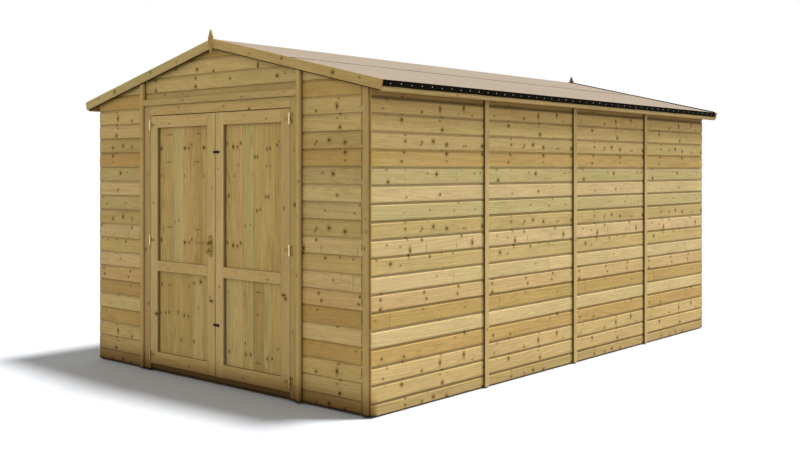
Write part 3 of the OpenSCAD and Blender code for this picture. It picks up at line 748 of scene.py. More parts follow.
def two_faced(section):
    """Painted shade of a planed timber that is seen from the front and from behind: only its sides are
    painted dark.
    """
    behind = section[:, 1] < section[:, 1].min() + 0.1 * strip_ease
    return np.where(behind, 1.0, painted_side_shade(section))


def upright(x, y, across, out, low, high, width, depth, tint, seed, knots=(), dark=0.4, reach=1.0):
    """An upright planed timber that stands proud of the plane through (x, y), from its middle."""
    section = planed(width, depth, strip_ease, 2, 3)
    shade = painted_side_shade(section, dark, reach)
    place = [up, across, out, (x, y, 0)]
    return timber(section + [-width / 2, depth], low, high, place, tint, seed, knots, shade)


for name, face in (("right", 1), ("left", -1)):
    strip_low, strip_high = map(np.array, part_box(f"{name}_cover_strips"))
    depth = strip_high[0] - strip_low[0]
    middle = np.linspace(strip_low[1] + strip_w / 2, strip_high[1] - strip_w / 2, panel_count - 1)
    parts = []
    for k, y in enumerate(middle):
        knots = [(0.4 + 0.55 * k, 0.004, *small), (1.5 - 0.3 * k, -0.008, *pin)]
        # Painted shade on the sides of the joint strips, deep in the corner behind them.
        parts.append(upright(
            face * wall_high[0], y, back, face * right, strip_low[2], strip_high[2] - strip_clear,
            strip_w, depth, tan * 0.96, 3.0 + k, knots, dark=0.22,
        ))
    piece(f"{name}_joint_strips", parts, trim_wood, "shed", "trim_timber", f"{name}_cover_strips")

for name, face in (("front", -1), ("back", 1)):
    strip_low, strip_high = map(np.array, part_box(f"{name}_cover_strips"))
    full = strip_high[1] - strip_low[1]
    inner = gable_high[0] + strip_w / 2
    outer = strip_high[0] - strip_w / 2
    parts = []
    for k, x in enumerate((-inner, inner, outer) if name == "front" else (-outer, -inner, inner, outer)):
        beside = abs(x) == inner
        depth = full if beside else strip_t
        slim = beside and name == "front"
        width = door_strip_w if slim else strip_w
        middle = x - (strip_w - width) / 2 if slim and x > 0 else x
        top = gable_high[2] - (abs(x) + strip_w / 2) * np.tan(pitch)
        knots = [(1.72 - 0.3 * k, 0.006, *small), (0.62 + 0.2 * k, -0.007, *small), (1.2, 0.0, *pin)]
        # Painted shade on the strips' sides: deep but low beside the doors, light at the corners.
        dark, reach = (0.3, 0.3) if beside else (0.8, 1.0)
        tint = tan * (0.91 if beside else 0.83)
        base = face * abs(front_face)
        parts.append(upright(
            middle, base, right, face * back, strip_low[2], top,
            width, depth, tint, 11.0 + k, knots, dark, reach,
        ))
    piece(f"{name}_gable_strips", parts, trim_wood, "shed", "trim_timber", f"{name}_cover_strips")


# Door frame
# Planed jambs and a head, which stand a little proud of the boards, and a strip over the head. The sill board
# below the doors is set back in their shadow.
def level(x0, x1, face, low, high, depth, tint, seed, knots=(), rows=3):
    """A planed timber across the front, from x0 to x1, with its face at y = face."""
    section = planed(high - low, depth, strip_ease, rows)
    place = [right, up, front, (0, face, 0)]
    return timber(section + [low, 0.0], x0, x1, place, tint, seed, knots, two_faced(section))


jamb_low, jamb_high = map(np.array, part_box("door_jambs"))
head_high = np.array(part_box("door_head")[1])
jamb_w = jamb_high[0] - head_high[0]
jamb_depth = jamb_high[1] - jamb_low[1]
jamb_parts = []
for way, tint, knots in (
    (1, olive * 0.95, [(1.27, 0.010, *large), (0.45, -0.012, *small), (1.62, 0.004, *small)]),
    (-1, rose * 0.88, [(0.50, 0.014, *sound), (0.90, -0.020, *sound), (1.45, 0.006, *small)]),
):
    section = planed(jamb_w, jamb_depth, strip_ease, 4) + [-jamb_w / 2, 0.0]
    x = way * (head_high[0] + jamb_w / 2)
    place = [up, right, front, (x, jamb_low[1], 0)]
    jamb_parts.append(timber(section, jamb_low[2], jamb_high[2], place, tint, 21.0 + way, knots))
piece("door_posts", jamb_parts, trim_wood, "shed", "trim_timber", "door_jambs")
for name, node, tint, seed, rows, knots in (
    ("door_lintel", "door_head", olive * 1.08, 27.0, 5, [
        (0.09, 1.93, *small), (0.36, 1.903, *sound), (-0.42, 1.945, *small), (0.61, 1.915, *pin),
    ]),
    ("lintel_strip", "door_head_strip", tan * 0.84, 29.0, 3, [
        (-0.35, 1.99, *small), (0.3, 1.985, *small), (0.72, 2.0, *pin),
    ]),
    # The sill's tint is darkened and warmed as painted shade.
    ("sill_board", "door_sill", fawn * [0.52, 0.50, 0.42], 33.0, 2, []),
):
    low, high = map(np.array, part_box(node))
    part = level(low[0], high[0], low[1], low[2], high[2], high[1] - low[1], tint, seed, knots, rows)
    piece(name, [part], trim_wood, "shed", "trim_timber", node)


# Roof timbers
# A sawn ridge board, rafters tied across in pairs, and boards laid along each slope as a deck.
# They show only from inside, through the open doors.
dress(sawn_wood("ridge_wood", 1, tan), "ridge_board")
dress(sawn_wood("rafter_wood", 0, tan), "rafters", "rafter_ties")
deck_thick = 0.012
slope_along = {way: np.array([way * np.cos(pitch), 0, -np.sin(pitch)]) for way in (1, -1)}
slope_out = {way: np.array([way * np.sin(pitch), 0, np.cos(pitch)]) for way in (1, -1)}
for name, way in (("right", 1), ("left", -1)):
    deck_low, deck_high = map(np.array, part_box(f"roof_deck_{name}"))
    ridge_gap = deck_thick * np.tan(pitch)
    deck_length = (deck_high[0] - deck_low[0]) / np.cos(pitch) - ridge_gap
    deck_count = round(deck_length / floor_board_w)
    deck_cover = deck_length / deck_count
    section = planed(deck_cover - plank_gap, deck_thick, saw_ease)
    ridge_point = np.array([0, 0, deck_high[2]])
    parts = []
    for k in range(deck_count):
        origin = ridge_point + slope_along[way] * (ridge_gap + k * deck_cover)
        place = [back, slope_along[way], slope_out[way], origin]
        tint = straw * chance.uniform(0.85, 1.0)
        parts.append(timber(section, deck_low[1], deck_high[1], place, tint, chance.uniform(0, 90)))
    piece(f"{name}_roof_boards", parts, floor_wood, "shed", "floor_timber", f"roof_deck_{name}")


# Roofing felt
# Two widths of sand-faced felt on each slope: one along the eaves, and one bent over the ridge and lapped
# onto it. Black bitumen shows in the lap and along the verges.
def felt_finish():
    """Two tones of mineral sand, evened out in patches and in runs down the slope."""
    finish = bpy.data.materials.new("mineral_felt")
    wire = new_tree(finish)
    place = wire.node("ShaderNodeTexCoord", {}, {}, out="Object")
    x, y, z = axes(place)
    sand = noise(wire, place, 520.0, 2.0, 0.7)
    patch = noise(wire, point(x * 2.2, y * 1.1, z), 1.0, 3.0)
    run = noise(wire, point(x * 0.7, y * 9.0, 0.0), 1.0, 2.0)
    colour = mix(sand, opaque(linear(121, 108, 93)), opaque(linear(155, 140, 122)))
    worn = mix(fade(patch * 0.7 + run * 0.3, 0.35, 0.7), colour, opaque(linear(145, 130, 113)))
    return surface(wire, finish, worn, 0.88 + sand * 0.1, sand, 0.0012, {"Specular IOR Level": 0.2})


def bitumen_finish():
    """Near-black tar with fine grit and a little dust."""
    finish = bpy.data.materials.new("black_bitumen")
    wire = new_tree(finish)
    place = wire.node("ShaderNodeTexCoord", {}, {}, out="Object")
    grit = noise(wire, place, 260.0, 3.0, 0.6)
    dust = noise(wire, place, 7.0, 3.0)
    colour = mix(dust * grit, opaque(linear(15, 11, 5)), opaque(linear(31, 24, 13)))
    return surface(wire, finish, colour, 0.7 + grit * 0.25, grit, 0.0008, {"Specular IOR Level": 0.02})


def closed_strip(ring, rows):
    """A closed ring of points carried through the offsets in rows; ring is (n, 3) and rows (m, 3) or
    (m, n, 3)."""
    count = len(ring)
    grid = ring[None] + (rows[:, None] if rows.ndim == 2 else rows)
    corners = ring_faces(len(rows), count)
    caps = np.stack([np.arange(count)[::-1], (len(rows) - 1) * count + np.arange(count)])
    points = grid.reshape(-1, 3)
    fan = points[corners]
    bulk = np.sum(fan.mean(1) * np.cross(fan[:, 2] - fan[:, 0], fan[:, 3] - fan[:, 1]))
    step = 1 if bulk > 0 else -1
    return {
        "points": points,
        "corners": np.concatenate([corners[:, ::step].ravel(), caps[:, ::step].ravel()]),
        "size": np.concatenate([np.full(len(corners), 4), np.full(2, count)]),
    }


felt_t = 0.0025
eaves_low, eaves_high = map(np.array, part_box("eaves_felts"))
ridge_high = np.array(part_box("ridge_felt")[1])
felt_v = felt_t / np.cos(pitch)
felt_y = np.linspace(eaves_low[1], eaves_high[1], 94)
felt = felt_finish()
bitumen = bitumen_finish()


def laid(outline, y, ripple):
    """Felt laid on the roof: an outline in x and z, carried along y, with a ripple in its height of a
    millimetre or so that comes from three crossing waves and dies out at the verges."""
    rows = np.zeros((len(y), len(outline), 3))
    x, y = outline[:, 0], y[:, None]
    wave = np.sin(3.1 * y + 2.3 * x) + np.sin(5.7 * y - 4.1 * x + 1.0) + np.sin(11.3 * y + 6.1 * x + 2.0)
    calm = np.clip((y[-1] - np.abs(y)) / 0.3, 0, 1)
    rows[..., 1] = y
    rows[..., 2] = ripple * (wave / 3 * 0.5 + 0.5) * calm
    ring = np.stack([x, np.zeros(len(x)), outline[:, 1]], -1)
    return closed_strip(ring, rows)


def sheet_outline(x, low):
    """A sheet of felt's outline: along its underside and back along its top."""
    under = np.stack([x, low], -1)
    return np.concatenate([under, under[::-1] + [0, felt_v]])


eaves_inner = 0.690
lap_rise = 0.008
lap_foot = eaves_inner - lap_rise
eaves_x = np.linspace(eaves_inner, eaves_high[0], 24)
eaves_z = eaves_high[2] - felt_v - (eaves_x - eaves_inner) * np.tan(pitch)
eaves_parts = []
for way in (1, -1):
    outline = sheet_outline(eaves_x, eaves_z) * [way, 1]
    eaves_parts.append(laid(outline, felt_y, 0.0010))
piece("eaves_felt_sheets", eaves_parts, felt, "shed", "roof_felt", "eaves_felts")
lap_x = ridge_high[0]
half_x = np.concatenate([np.linspace(0.012, lap_foot, 18), np.linspace(eaves_inner, lap_x, 5)])
ridge_x = np.concatenate([-half_x[::-1], [0.0], half_x])
on_eaves = np.clip((np.abs(ridge_x) - lap_foot) / lap_rise, 0, 1) * (felt_v + 0.0001)
ridge_z = ridge_high[2] - felt_v - np.abs(ridge_x) * np.tan(pitch) + on_eaves
ridge_part = laid(sheet_outline(ridge_x, ridge_z), felt_y, 0.0012)
piece("ridge_felt_sheet", [ridge_part], felt, "shed", "roof_felt", "ridge_felt")


def bead(path, radius, sides=8):
    """A half-round bead of bitumen pressed out along a straight path of points."""
    run = path[-1] - path[0]
    run = run / np.linalg.norm(run)
    side = np.cross(up, run)
    side = side / np.linalg.norm(side)
    rise = np.cross(run, side)
    angle = np.linspace(-0.4, np.pi + 0.4, sides)
    ring = radius * (np.cos(angle)[:, None] * side + np.sin(angle)[:, None] * rise * 0.8)
    return closed_strip(ring, path)


bead_parts = []
lap_y = np.linspace(felt_y[0], felt_y[-1], 60)
lap_z = np.full(60, ridge_high[2] - lap_x * np.tan(pitch) - 0.0012)
lap_sway = 0.0010 * np.sin(7.0 * lap_y) * np.sin(23.0 * lap_y)
verge_x = np.linspace(0.01, eaves_high[0] - 0.004, 30)
verge_z = ridge_high[2] - verge_x * np.tan(pitch) - 0.001
for way in (1, -1):
    bead_parts.append(bead(np.stack([way * (lap_x + 0.0015 + lap_sway), lap_y, lap_z], -1), 0.0026))
    # The verge beads are bitumen and also draw the shadow line between felt and barge as painted shade; the
    # back one is much thicker.
    for y, radius in ((felt_y[0] + 0.002, 0.0045), (felt_y[-1] - 0.010, 0.0120)):
        bead_parts.append(bead(np.stack([way * verge_x, np.full(30, y), verge_z], -1), radius))
piece("bitumen_beads", bead_parts, bitumen, "shed", "felt_edge")


# Eaves
# The felt is folded down over a planed fascia and held by flat-headed galvanised nails.
# Only its black face shows.
nail_pitch = 0.098
nail_r = 0.0030
nail_h = 0.0014


def caps_on(centres, out, radius, height, sides=10):
    """Round heads of nails or screws: rings of points on a dome whose height falls off with the square of the
    radius."""
    out = np.asarray(out, float)
    side = np.cross(out, up) if abs(out @ up) < 0.9 else right
    side = side / np.linalg.norm(side)
    rise = np.cross(side, out)
    angle = np.linspace(0, 2 * np.pi, sides, endpoint=False)
    circle = np.cos(angle)[:, None] * side + np.sin(angle)[:, None] * rise
    shares = np.array([[1.0, -0.4], [1.0, 0.35], [0.8, 0.75], [0.4, 0.96]])
    head = np.concatenate([radius * r * circle + height * h * out for r, h in shares] + [height * out[None]])
    flank = ring_faces(len(shares), sides)
    k = np.arange(sides)
    last = (len(shares) - 1) * sides
    top = np.stack([last + k, last + (k + 1) % sides, np.full(sides, last + sides)], -1)
    size = np.concatenate([np.full(len(flank), 4), np.full(sides, 3), [sides]])
    corners = np.concatenate([flank.ravel(), top.ravel(), k[::-1]])
    local = np.stack([circle @ side, circle @ rise, np.zeros(sides)], -1)
    spot = np.concatenate([local * r for r in shares[:, 0]] + [np.zeros((1, 3))])[corners]
    centres = np.asarray(centres, float)
    return {
        "points": (centres[:, None] + head[None]).reshape(-1, 3),
        "corners": (corners[None] + len(head) * np.arange(len(centres))[:, None]).ravel(),
        "size": np.tile(size, len(centres)),
        "spot": np.tile(spot, (len(centres), 1)),
    }


def head_metal(name, colour, slot_width):
    """Metal of nail and screw heads. A screw's slot is a dark groove of painted shade across the head, with
    only a bump for its depth, read from its spot attribute; a nail's slot_width is below 0, which leaves
    none."""
    finish = bpy.data.materials.new(name)
    wire = new_tree(finish)
    place = wire.node("ShaderNodeTexCoord", {}, {}, out="Object")
    x, y, _ = axes(wire.node("ShaderNodeAttribute", {"attribute_name": "spot"}, out="Vector"))
    # The screw slot is painted shade: a near-black groove in the colour.
    slot = 1.0 - fade(wire.math("ABSOLUTE", x * 0.8 + y * 0.6), slot_width, slot_width + 0.08)
    grain = noise(wire, place, 900.0, 2.0)
    metal = mix(slot, mix(grain, opaque(colour), opaque(colour * 0.7)), opaque(colour * 0.08))
    return surface(wire, finish, metal, 0.35 + grain * 0.3, grain * 0.3 - slot, 0.0006, {"Metallic": 0.85})


drip_low, drip_high = map(np.array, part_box("eaves_drips"))
drip_y = np.linspace(drip_low[1], drip_high[1], 94)
drip_parts = []
nails = []
for way in (1, -1):
    z = np.linspace(drip_low[2], drip_high[2], 5)
    outer = np.stack([np.full(5, drip_high[0]), z], -1)
    outline = np.concatenate([outer, outer[::-1] - [felt_t, 0]])
    rows = np.zeros((len(drip_y), len(outline), 3))
    rows[..., 1] = drip_y[:, None]
    fall = (drip_high[2] - outline[:, 1]) / (drip_high[2] - drip_low[2])
    rows[..., 0] = -0.0004 * np.abs(np.sin(31.4 * drip_y))[:, None] * fall
    rows[..., 2] = 0.0012 * np.sin(4.3 * drip_y + way)[:, None] * np.sin(12.1 * drip_y)[:, None] * fall
    ring = np.stack([outline[:, 0], np.zeros(len(outline)), outline[:, 1]], -1)
    drip_parts.append(closed_strip(ring * [way, 1, 1], rows * [way, 1, 1]))
    nail_y = np.arange(drip_low[1] + 0.08, drip_high[1] - 0.02, nail_pitch)
    nail_z = np.mean([drip_low[2], drip_high[2]]) + 0.002 * np.sin(37.0 * nail_y)
    centres = np.stack([np.full(len(nail_y), way * drip_high[0]), nail_y, nail_z], -1)
    nails.append(caps_on(centres, way * right, nail_r, nail_h))
piece("eaves_felt_folds", drip_parts, bitumen, "shed", "felt_edge", "eaves_drips")
piece("felt_nails", nails, head_metal("galvanised_heads", linear(214, 214, 208), -1.0), "shed", "felt_edge")

fascia_low, fascia_high = map(np.array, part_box("eaves_fascias"))
fascia_t = 0.016
fascia_w = eaves_z[-1] - 0.0125 - fascia_low[2]
# The fascia's tint is darkened and warmed as painted shade.
fascia_shaded_tint = straw * [0.64, 0.60, 0.535]
fascia_parts = []
for way in (1, -1):
    section = planed(fascia_w, fascia_t, strip_ease, 3) + [fascia_low[2], 0.0]
    knots = [(-1.6, 1.972, *small), (-0.7, 1.98, *pin), (0.35, 1.97, *small), (1.5, 1.975, *small)]
    place = [back, up, way * right, (way * fascia_high[0], 0, 0)]
    part = timber(section, fascia_low[1], fascia_high[1], place, fascia_shaded_tint, 41.0 + way, knots)
    fascia_parts.append(part)
piece("eaves_boards", fascia_parts, trim_wood, "shed", "trim_timber", "eaves_fascias")


# Barge boards and finials
# A planed board up each slope of both gables, cut plumb where the two meet at the ridge, and square at the
# eaves. A black strip of felt hangs behind it and shows below it as a painted shadow. A flat kite-shaped
# finial is nailed over the joint.
barge_w = 0.063
plumb_gap = 0.0005
barge_knots = [(0.74, -0.018, *sound), (1.22, -0.030, *large), (0.42, -0.040, *small), (1.45, -0.022, *small)]
for name, face in (("front", front), ("back", back)):
    barge_low, barge_high = map(np.array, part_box(f"{name}_barge_boards"))
    depth = barge_high[1] - barge_low[1]
    face_y = barge_low[1] if name == "front" else barge_high[1]
    parts = []
    for way, tint, seed in ((1, olive * 1.02, 5.0), (-1, sage * 0.98, 9.0)):
        section = planed(barge_w, depth, strip_ease, 4) + [-barge_w, 0.0]
        start = (plumb_gap - section[:, 0] * np.sin(pitch)) / np.cos(pitch)
        stop = barge_high[0] / np.cos(pitch)
        top = np.array([0, face_y, barge_high[2]])
        place = [slope_along[way], slope_out[way], face, top]
        # Painted shade darkens the barge board's top edge.
        shade = np.where(section[:, 0] > -0.5 * strip_ease, 0.6, 1.0)
        parts.append(timber(section, start, stop, place, tint, seed, barge_knots, shade))
    piece(f"{name}_barges", parts, trim_wood, "shed", "trim_timber", f"{name}_barge_boards")

# A thin black strip of felt behind each barge board, hanging below it to show as a painted shadow.
verge_shadow_top = 0.022
verge_shadow_drop = 0.071
verge_shadow_t = 0.0006
verge_shadow_parts = []
for face in (front, back):
    for way in (1, -1):
        x = np.array([0.03, barge_high[0] - 0.02])
        z = barge_high[2] - x * np.tan(pitch)
        edge_x = way * x[[0, 0, 1, 1]]
        edge_z = z[[0, 0, 1, 1]] - [verge_shadow_top, verge_shadow_drop, verge_shadow_drop, verge_shadow_top]
        ring = np.stack([edge_x, np.full(4, face[1] * (felt_y[-1] - 0.0002)), edge_z], -1)
        verge_shadow_parts.append(closed_strip(ring, np.array([[0, 0, 0], [0, -face[1] * verge_shadow_t, 0]])))
piece("verge_shadow_strips", verge_shadow_parts, bitumen, "shed", "felt_edge")

finial_low, finial_high = map(np.array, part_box("finials"))
finial_half = finial_high[0]
finial_tip = 0.002
finial_t = 0.010
finial_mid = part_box("front_barge_boards")[1][2]
kite = np.array([
    (-finial_half, finial_mid), (-finial_tip, finial_low[2]), (finial_tip, finial_low[2]),
    (finial_half, finial_mid), (finial_tip, finial_high[2]), (-finial_tip, finial_high[2]),
])
# Painted shade: the front finial's tint is darkened a little, and the back one's by more than half.
finial_parts = [
    timber(kite, 0.0, finial_t, [face, right, up, face * abs(barge_high[1])], olive * shade, 17.0 + face[1])
    for face, shade in ((front, 0.9), (back, 0.42))
]
piece("ridge_finials", finial_parts, trim_wood, "shed", "trim_timber", "finials")


# Doors
# Two framed doors of planed softwood: stiles and rails round panels of tongued boards with V joints, which
# lie back from the frame's face.
door_wood = board_wood("door_board_wood", 0.16, ground_shade=1.0)
# The door boards' tint is warmed as painted shade.
door_shade_warmth = np.array([1.0, 0.985, 0.89])
green = sage * [1.0, 1.08, 1.22]
groove_w = 0.008
groove_d = 0.003
# Painted highlight on the right bevel of each door board and painted shade on the left one.
lit_bevel = 1.22
shaded_bevel = 0.30
board_w = 0.110
board_shift = 0.012
door_ease = 0.0025


def v_board(width, thick):
    """Section of a tongued board: a rectangle whose two front edges are bevelled, with rows across the front.
    The shade of its points gives the right bevel a painted highlight and the left one painted shade."""
    edge = groove_w / 2
    rows = np.concatenate([[width - edge], np.linspace(width - edge - 0.001, edge + 0.001, 9), [edge]])
    face = np.stack([rows, np.zeros(11)], -1)
    ends = [(0.0, -thick), (width, -thick), (width, -groove_d)]
    section = np.concatenate([ends, face, [(0.0, -groove_d)]])
    shade = np.ones(len(section))
    shade[2:4] = lit_bevel
    shade[-2:] = shaded_bevel
    return section, shade


door_facts = {
    "left": {
        "stiles": (straw * 0.90, tan * 0.98),
        "upper": (
            tan * 0.90, tan * 0.90, (green, straw), rose * 1.03, (rose * 0.98, olive * 0.95), tan * 0.89,
        ),
        "lower": (
            olive * 1.03, olive * 1.02, tan * 0.90, (tan * 0.85, olive), straw * 0.91, (olive, green * 0.95),
        ),
        "knots": [
            (-0.655, 1.650, large), (-0.377, 1.650, tall), (-0.322, 1.650, sound), (-0.292, 1.675, sound),
            (-0.157, 1.650, tall), (-0.377, 1.450, small), (-0.650, 1.450, small), (-0.157, 1.450, small),
            (-0.442, 1.125, small), (-0.487, 1.115, small), (-0.655, 0.975, large), (-0.377, 0.970, tall),
            (-0.322, 0.975, sound), (-0.292, 0.995, sound), (-0.645, 0.650, sound),
            (-0.567, 0.650, small), (-0.532, 0.655, small), (-0.267, 0.685, sound),
            (-0.187, 0.700, large), (-0.322, 0.655, small), (-0.660, 0.440, small),
            (-0.602, 0.445, sound), (-0.562, 0.450, sound), (-0.452, 0.460, sound),
            (-0.377, 0.445, sound), (-0.332, 0.445, sound), (-0.217, 0.515, small),
            (-0.417, 0.265, sound), (-0.267, 0.270, sound), (-0.550, 1.750, dash), (-0.220, 1.750, dash),
            (-0.560, 1.550, dash), (-0.225, 1.550, dash), (-0.550, 1.075, dash), (-0.220, 1.070, dash),
        ],
        "lock_knots": [(0.580, 0.004, *tall), (0.605, -0.012, *small), (1.365, 0.010, *small)],
        "hinge_knots": [(0.430, 0.030, *tall), (1.250, -0.010, *small)],
    },
    "right": {
        "stiles": (straw * 0.92, tan * 0.88),
        "upper": (
            olive * 1.06, rose * 1.02, (olive * 1.03, green * 1.07), olive * 1.12,
            (tan * 0.98, olive * 1.05), rose * 0.96,
        ),
        "lower": (
            green * 1.08, straw * 0.96, (olive * 1.1, green * 1.08), olive * 0.90,
            (green * 1.03, olive * 1.08), tan * 0.93,
        ),
        "knots": [
            (0.105, 1.675, sound), (0.168, 1.650, large), (0.213, 1.650, sound), (0.247, 1.675, sound),
            (0.395, 1.580, sound), (0.420, 1.580, sound), (0.515, 1.630, sound), (0.545, 1.635, sound),
            (0.615, 1.655, sound), (0.632, 1.680, small), (0.510, 1.520, small), (0.545, 1.520, small),
            (0.120, 1.315, sound), (0.180, 1.450, small), (0.220, 1.530, small), (0.505, 1.315, sound),
            (0.530, 1.315, sound), (0.445, 1.225, sound), (0.415, 1.220, sound), (0.295, 1.115, small),
            (0.350, 1.125, small), (0.105, 0.995, sound), (0.168, 0.975, large), (0.213, 0.975, sound),
            (0.247, 0.995, sound), (0.125, 0.245, sound), (0.300, 0.245, sound), (0.350, 0.250, sound),
            (0.520, 0.245, sound), (0.565, 0.250, sound), (0.420, 0.525, small), (0.290, 0.655, small),
            (0.115, 0.655, small), (0.295, 0.320, small), (0.625, 0.320, small), (0.425, 0.675, dash),
            (0.425, 0.200, dash),
        ],
        "lock_knots": [(0.685, 0.000, *small), (1.500, -0.015, *small)],
        "hinge_knots": [(0.680, -0.014, *tall), (0.660, 0.004, *large), (1.245, -0.012, *sound)],
    },
}
for name, facts in door_facts.items():
    way = 1 if name == "right" else -1
    body = f"{name}_door"
    frame_low, frame_high = map(np.array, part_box(f"{name}_door_stiles"))
    panel_low, panel_high = map(np.array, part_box(f"{name}_door_boards"))
    thick = frame_high[1] - frame_low[1]
    face_y = frame_low[1]
    stile_w = panel_low[0] - frame_low[0]
    stiles = []
    stile_knots = (facts["lock_knots"], facts["hinge_knots"])[::way]
    for x, knots, tint, inner, seed in (
        (frame_low[0] + stile_w / 2, stile_knots[0], facts["stiles"][0], 1, 81.0),
        (frame_high[0] - stile_w / 2, stile_knots[1], facts["stiles"][1], -1, 83.0),
    ):
        section = planed(stile_w, thick, door_ease, 6) + [-stile_w / 2, 0.0]
        place = [up, right, front, (x, face_y, 0)]
        # Painted shade on the side of each stile that faces its panel.
        shade = np.where(section[:, 0] * inner > 0, two_faced(section), 1.0)
        stiles.append(timber(section, frame_low[2], frame_high[2], place, tint, seed + way, knots, shade))
    piece(f"{name}_stiles", stiles, trim_wood, body, "door_timber", f"{name}_door_stiles")
    bottom, top = panel_low[2], panel_high[2]
    middle_low, middle_high = 0.748, 0.824
    rails = []
    for low, high, pale, seed, (x0, z0), (x1, z1) in (
        (frame_low[2], bottom, 0.97 - 0.03 * way, 85.0, (0.295, 0.090), (0.52, 0.110)),
        (middle_low, middle_high, 0.96, 87.0, (0.545, 0.770), (0.22, 0.80)),
        (top, frame_high[2], 0.98, 89.0, (0.53, 1.830), (0.31, 1.86)),
    ):
        knots = [(way * x0, z0, *small), (way * x1, z1, *pin)]
        span = panel_low[0], panel_high[0]
        rails.append(level(*span, face_y, low, high, thick, tan * pale, seed + way, knots, 6))
    piece(f"{name}_rails", rails, trim_wood, body, "door_timber", f"{name}_door_rails")
    middle = (panel_low[0] + panel_high[0]) / 2 - board_shift
    joints = np.concatenate([[panel_low[0]], middle + board_w * np.arange(-2, 3), [panel_high[0]]])
    boards = []
    for tints, low, high in ((facts["lower"], bottom, middle_low), (facts["upper"], middle_high, top)):
        for k, tint in enumerate(tints):
            x0, x1 = joints[k], joints[k + 1]
            section, shade = v_board(x1 - x0, panel_high[1] - panel_low[1])
            knots = [(z, x, *size) for x, z, size in facts["knots"] if x0 < x < x1 and low < z < high]
            place = [up, right, front, (0, panel_low[1], 0)]
            ends = np.broadcast_to(tint, (2, 3)) * door_shade_warmth * chance.uniform(0.97, 1.03, (2, 1))
            colour = ends[0] + (section[:, :1] / (x1 - x0)) * (ends[1] - ends[0])
            seed = chance.uniform(0, 90)
            boards.append(timber(section + [x0, 0.0], low, high, place, colour, seed, knots, shade))
    piece(f"{name}_panel_boards", boards, door_wood, body, "door_timber", f"{name}_door_boards")


# Ironmongery
# Brass hinges with a plate and pin on the jamb and a strap on the door, a brass lever lock with its key, and
# black catch plates across the joint of the doors. The brass has dulled; its knuckles are a little smoother
# and carry a painted highlight, weaker on the lowest hinges.
knuckle_r = 0.006
jamb_plate_w = 0.0265
hinge_low, hinge_high = map(np.array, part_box("jamb_hinges"))
pin_x = hinge_high[0] - jamb_plate_w
pin_y = hinge_low[1] + knuckle_r


def brass_finish():
    """Stained brass; within a knuckle's radius of the hinge pins it is smoother and carries a painted
    highlight, weaker low down.
    """
    finish = bpy.data.materials.new("dull_brass")
    wire = new_tree(finish)
    place = wire.node("ShaderNodeTexCoord", {}, {}, out="Object")
    fine = noise(wire, place, 700.0, 3.0, 0.6)
    stain = noise(wire, place, 45.0, 3.0)
    x, y, z = axes(place)
    aside = wire.math("ABSOLUTE", x) - pin_x
    ahead = y - pin_y
    from_pin = (aside * aside + ahead * ahead) ** 0.5
    near = 1.0 - fade(from_pin, knuckle_r + 0.0003, knuckle_r + 0.0012)
    # Painted highlight on the knuckles, which are also a little smoother there.
    polish_and_highlight = near * (0.35 + fade(z, 0.3, 0.7) * 0.65)
    dull = mix(fade(stain, 0.45, 0.75), opaque(linear(158, 131, 74)), opaque(linear(112, 90, 44)))
    colour = mix(polish_and_highlight, dull, opaque(linear(228, 208, 156)))
    rough = 0.42 - polish_and_highlight * 0.16 + fine * 0.16 + stain * 0.1
    return surface(wire, finish, colour, rough, fine, 0.0002, {"Metallic": 1.0})


def iron_finish():
    """Black iron with a fine surface, slightly worn by rubbing."""
    finish = bpy.data.materials.new("black_iron")
    wire = new_tree(finish)
    place = wire.node("ShaderNodeTexCoord", {}, {}, out="Object")
    fine = noise(wire, place, 420.0, 3.0, 0.6)
    rub = noise(wire, place, 60.0, 2.0)
    colour = mix(rub, opaque(linear(16, 14, 12)), opaque(linear(34, 30, 26)))
    return surface(wire, finish, colour, 0.6 + fine * 0.2, fine, 0.0003, {"Specular IOR Level": 0.15})


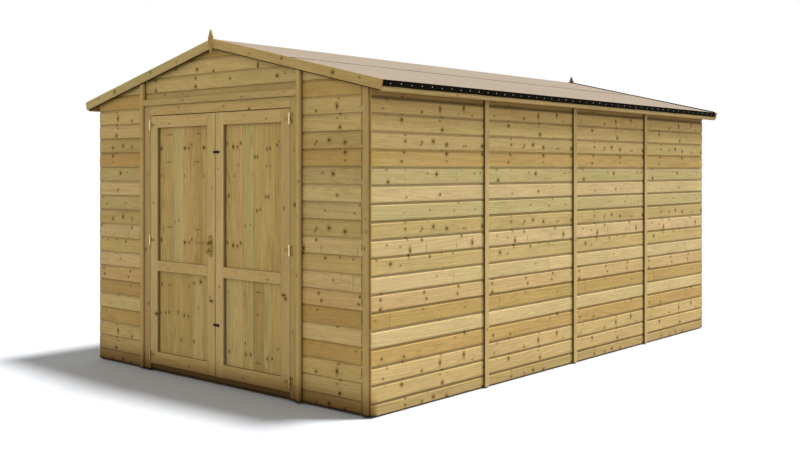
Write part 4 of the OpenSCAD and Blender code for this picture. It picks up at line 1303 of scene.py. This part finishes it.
brass = brass_finish()
dress(brass, "jamb_hinges", "left_door_hinges", "right_door_hinges", "lock_plate", "door_lever", "door_key")
dress(iron_finish(), "left_catches", "right_catches")
for name in (
    "jamb_hinges", "left_door_hinges", "right_door_hinges", "lock_plate", "left_catches", "right_catches",
):
    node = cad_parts[name]
    weld = node.modifiers.new("weld", "WELD")
    weld.merge_threshold = 0.00001
    bevel = node.modifiers.new("bevel", "BEVEL")
    bevel.width = 0.0006
    bevel.segments = 2
    bevel.limit_method = "ANGLE"

screw_r = 0.0036
screw_h = 0.0008
half_plate = 0.0375
hinge_z = [hinge_low[2] + half_plate, (hinge_low[2] + hinge_high[2]) / 2, hinge_high[2] - half_plate]
plate_y = face_y - 0.0025
screw_metal = head_metal("brass_heads", linear(150, 124, 70), 0.16)
jamb_screws = [
    (way * (hinge_high[0] - 0.010), plate_y, z + rise)
    for way in (1, -1) for z in hinge_z for rise in (-0.024, 0, 0.024)
]
piece("jamb_hinge_screws", [caps_on(jamb_screws, front, screw_r, screw_h)], screw_metal, "shed", "brass")
for name, way in (("left", -1), ("right", 1)):
    strap_screws = [(way * (pin_x - reach), plate_y, z) for z in hinge_z for reach in (0.020, 0.042)]
    screws = [caps_on(strap_screws, front, screw_r, screw_h)]
    piece(f"{name}_strap_screws", screws, screw_metal, f"{name}_door", "brass")
lock_low, lock_high = map(np.array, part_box("lock_plate"))
lock_x = (lock_low[0] + lock_high[0]) / 2
lock_screws = [(lock_x, face_y - 0.005, z) for z in (lock_low[2] + 0.012, lock_high[2] - 0.012)]
piece("lock_screws", [caps_on(lock_screws, front, screw_r, screw_h)], screw_metal, "left_door", "brass")
iron_metal = head_metal("iron_heads", linear(40, 37, 34), 0.16)
catch_low, catch_high = map(np.array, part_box("right_catches"))
catch_z = (catch_low[2] + 0.008, catch_high[2] - 0.008)
catch_screws = [(x, catch_low[1], z) for x in (catch_low[0] + 0.010, catch_high[0] - 0.009) for z in catch_z]
screws = [caps_on(catch_screws, front, screw_r, screw_h)]
piece("catch_screws", screws, iron_metal, "right_door", "black_iron")
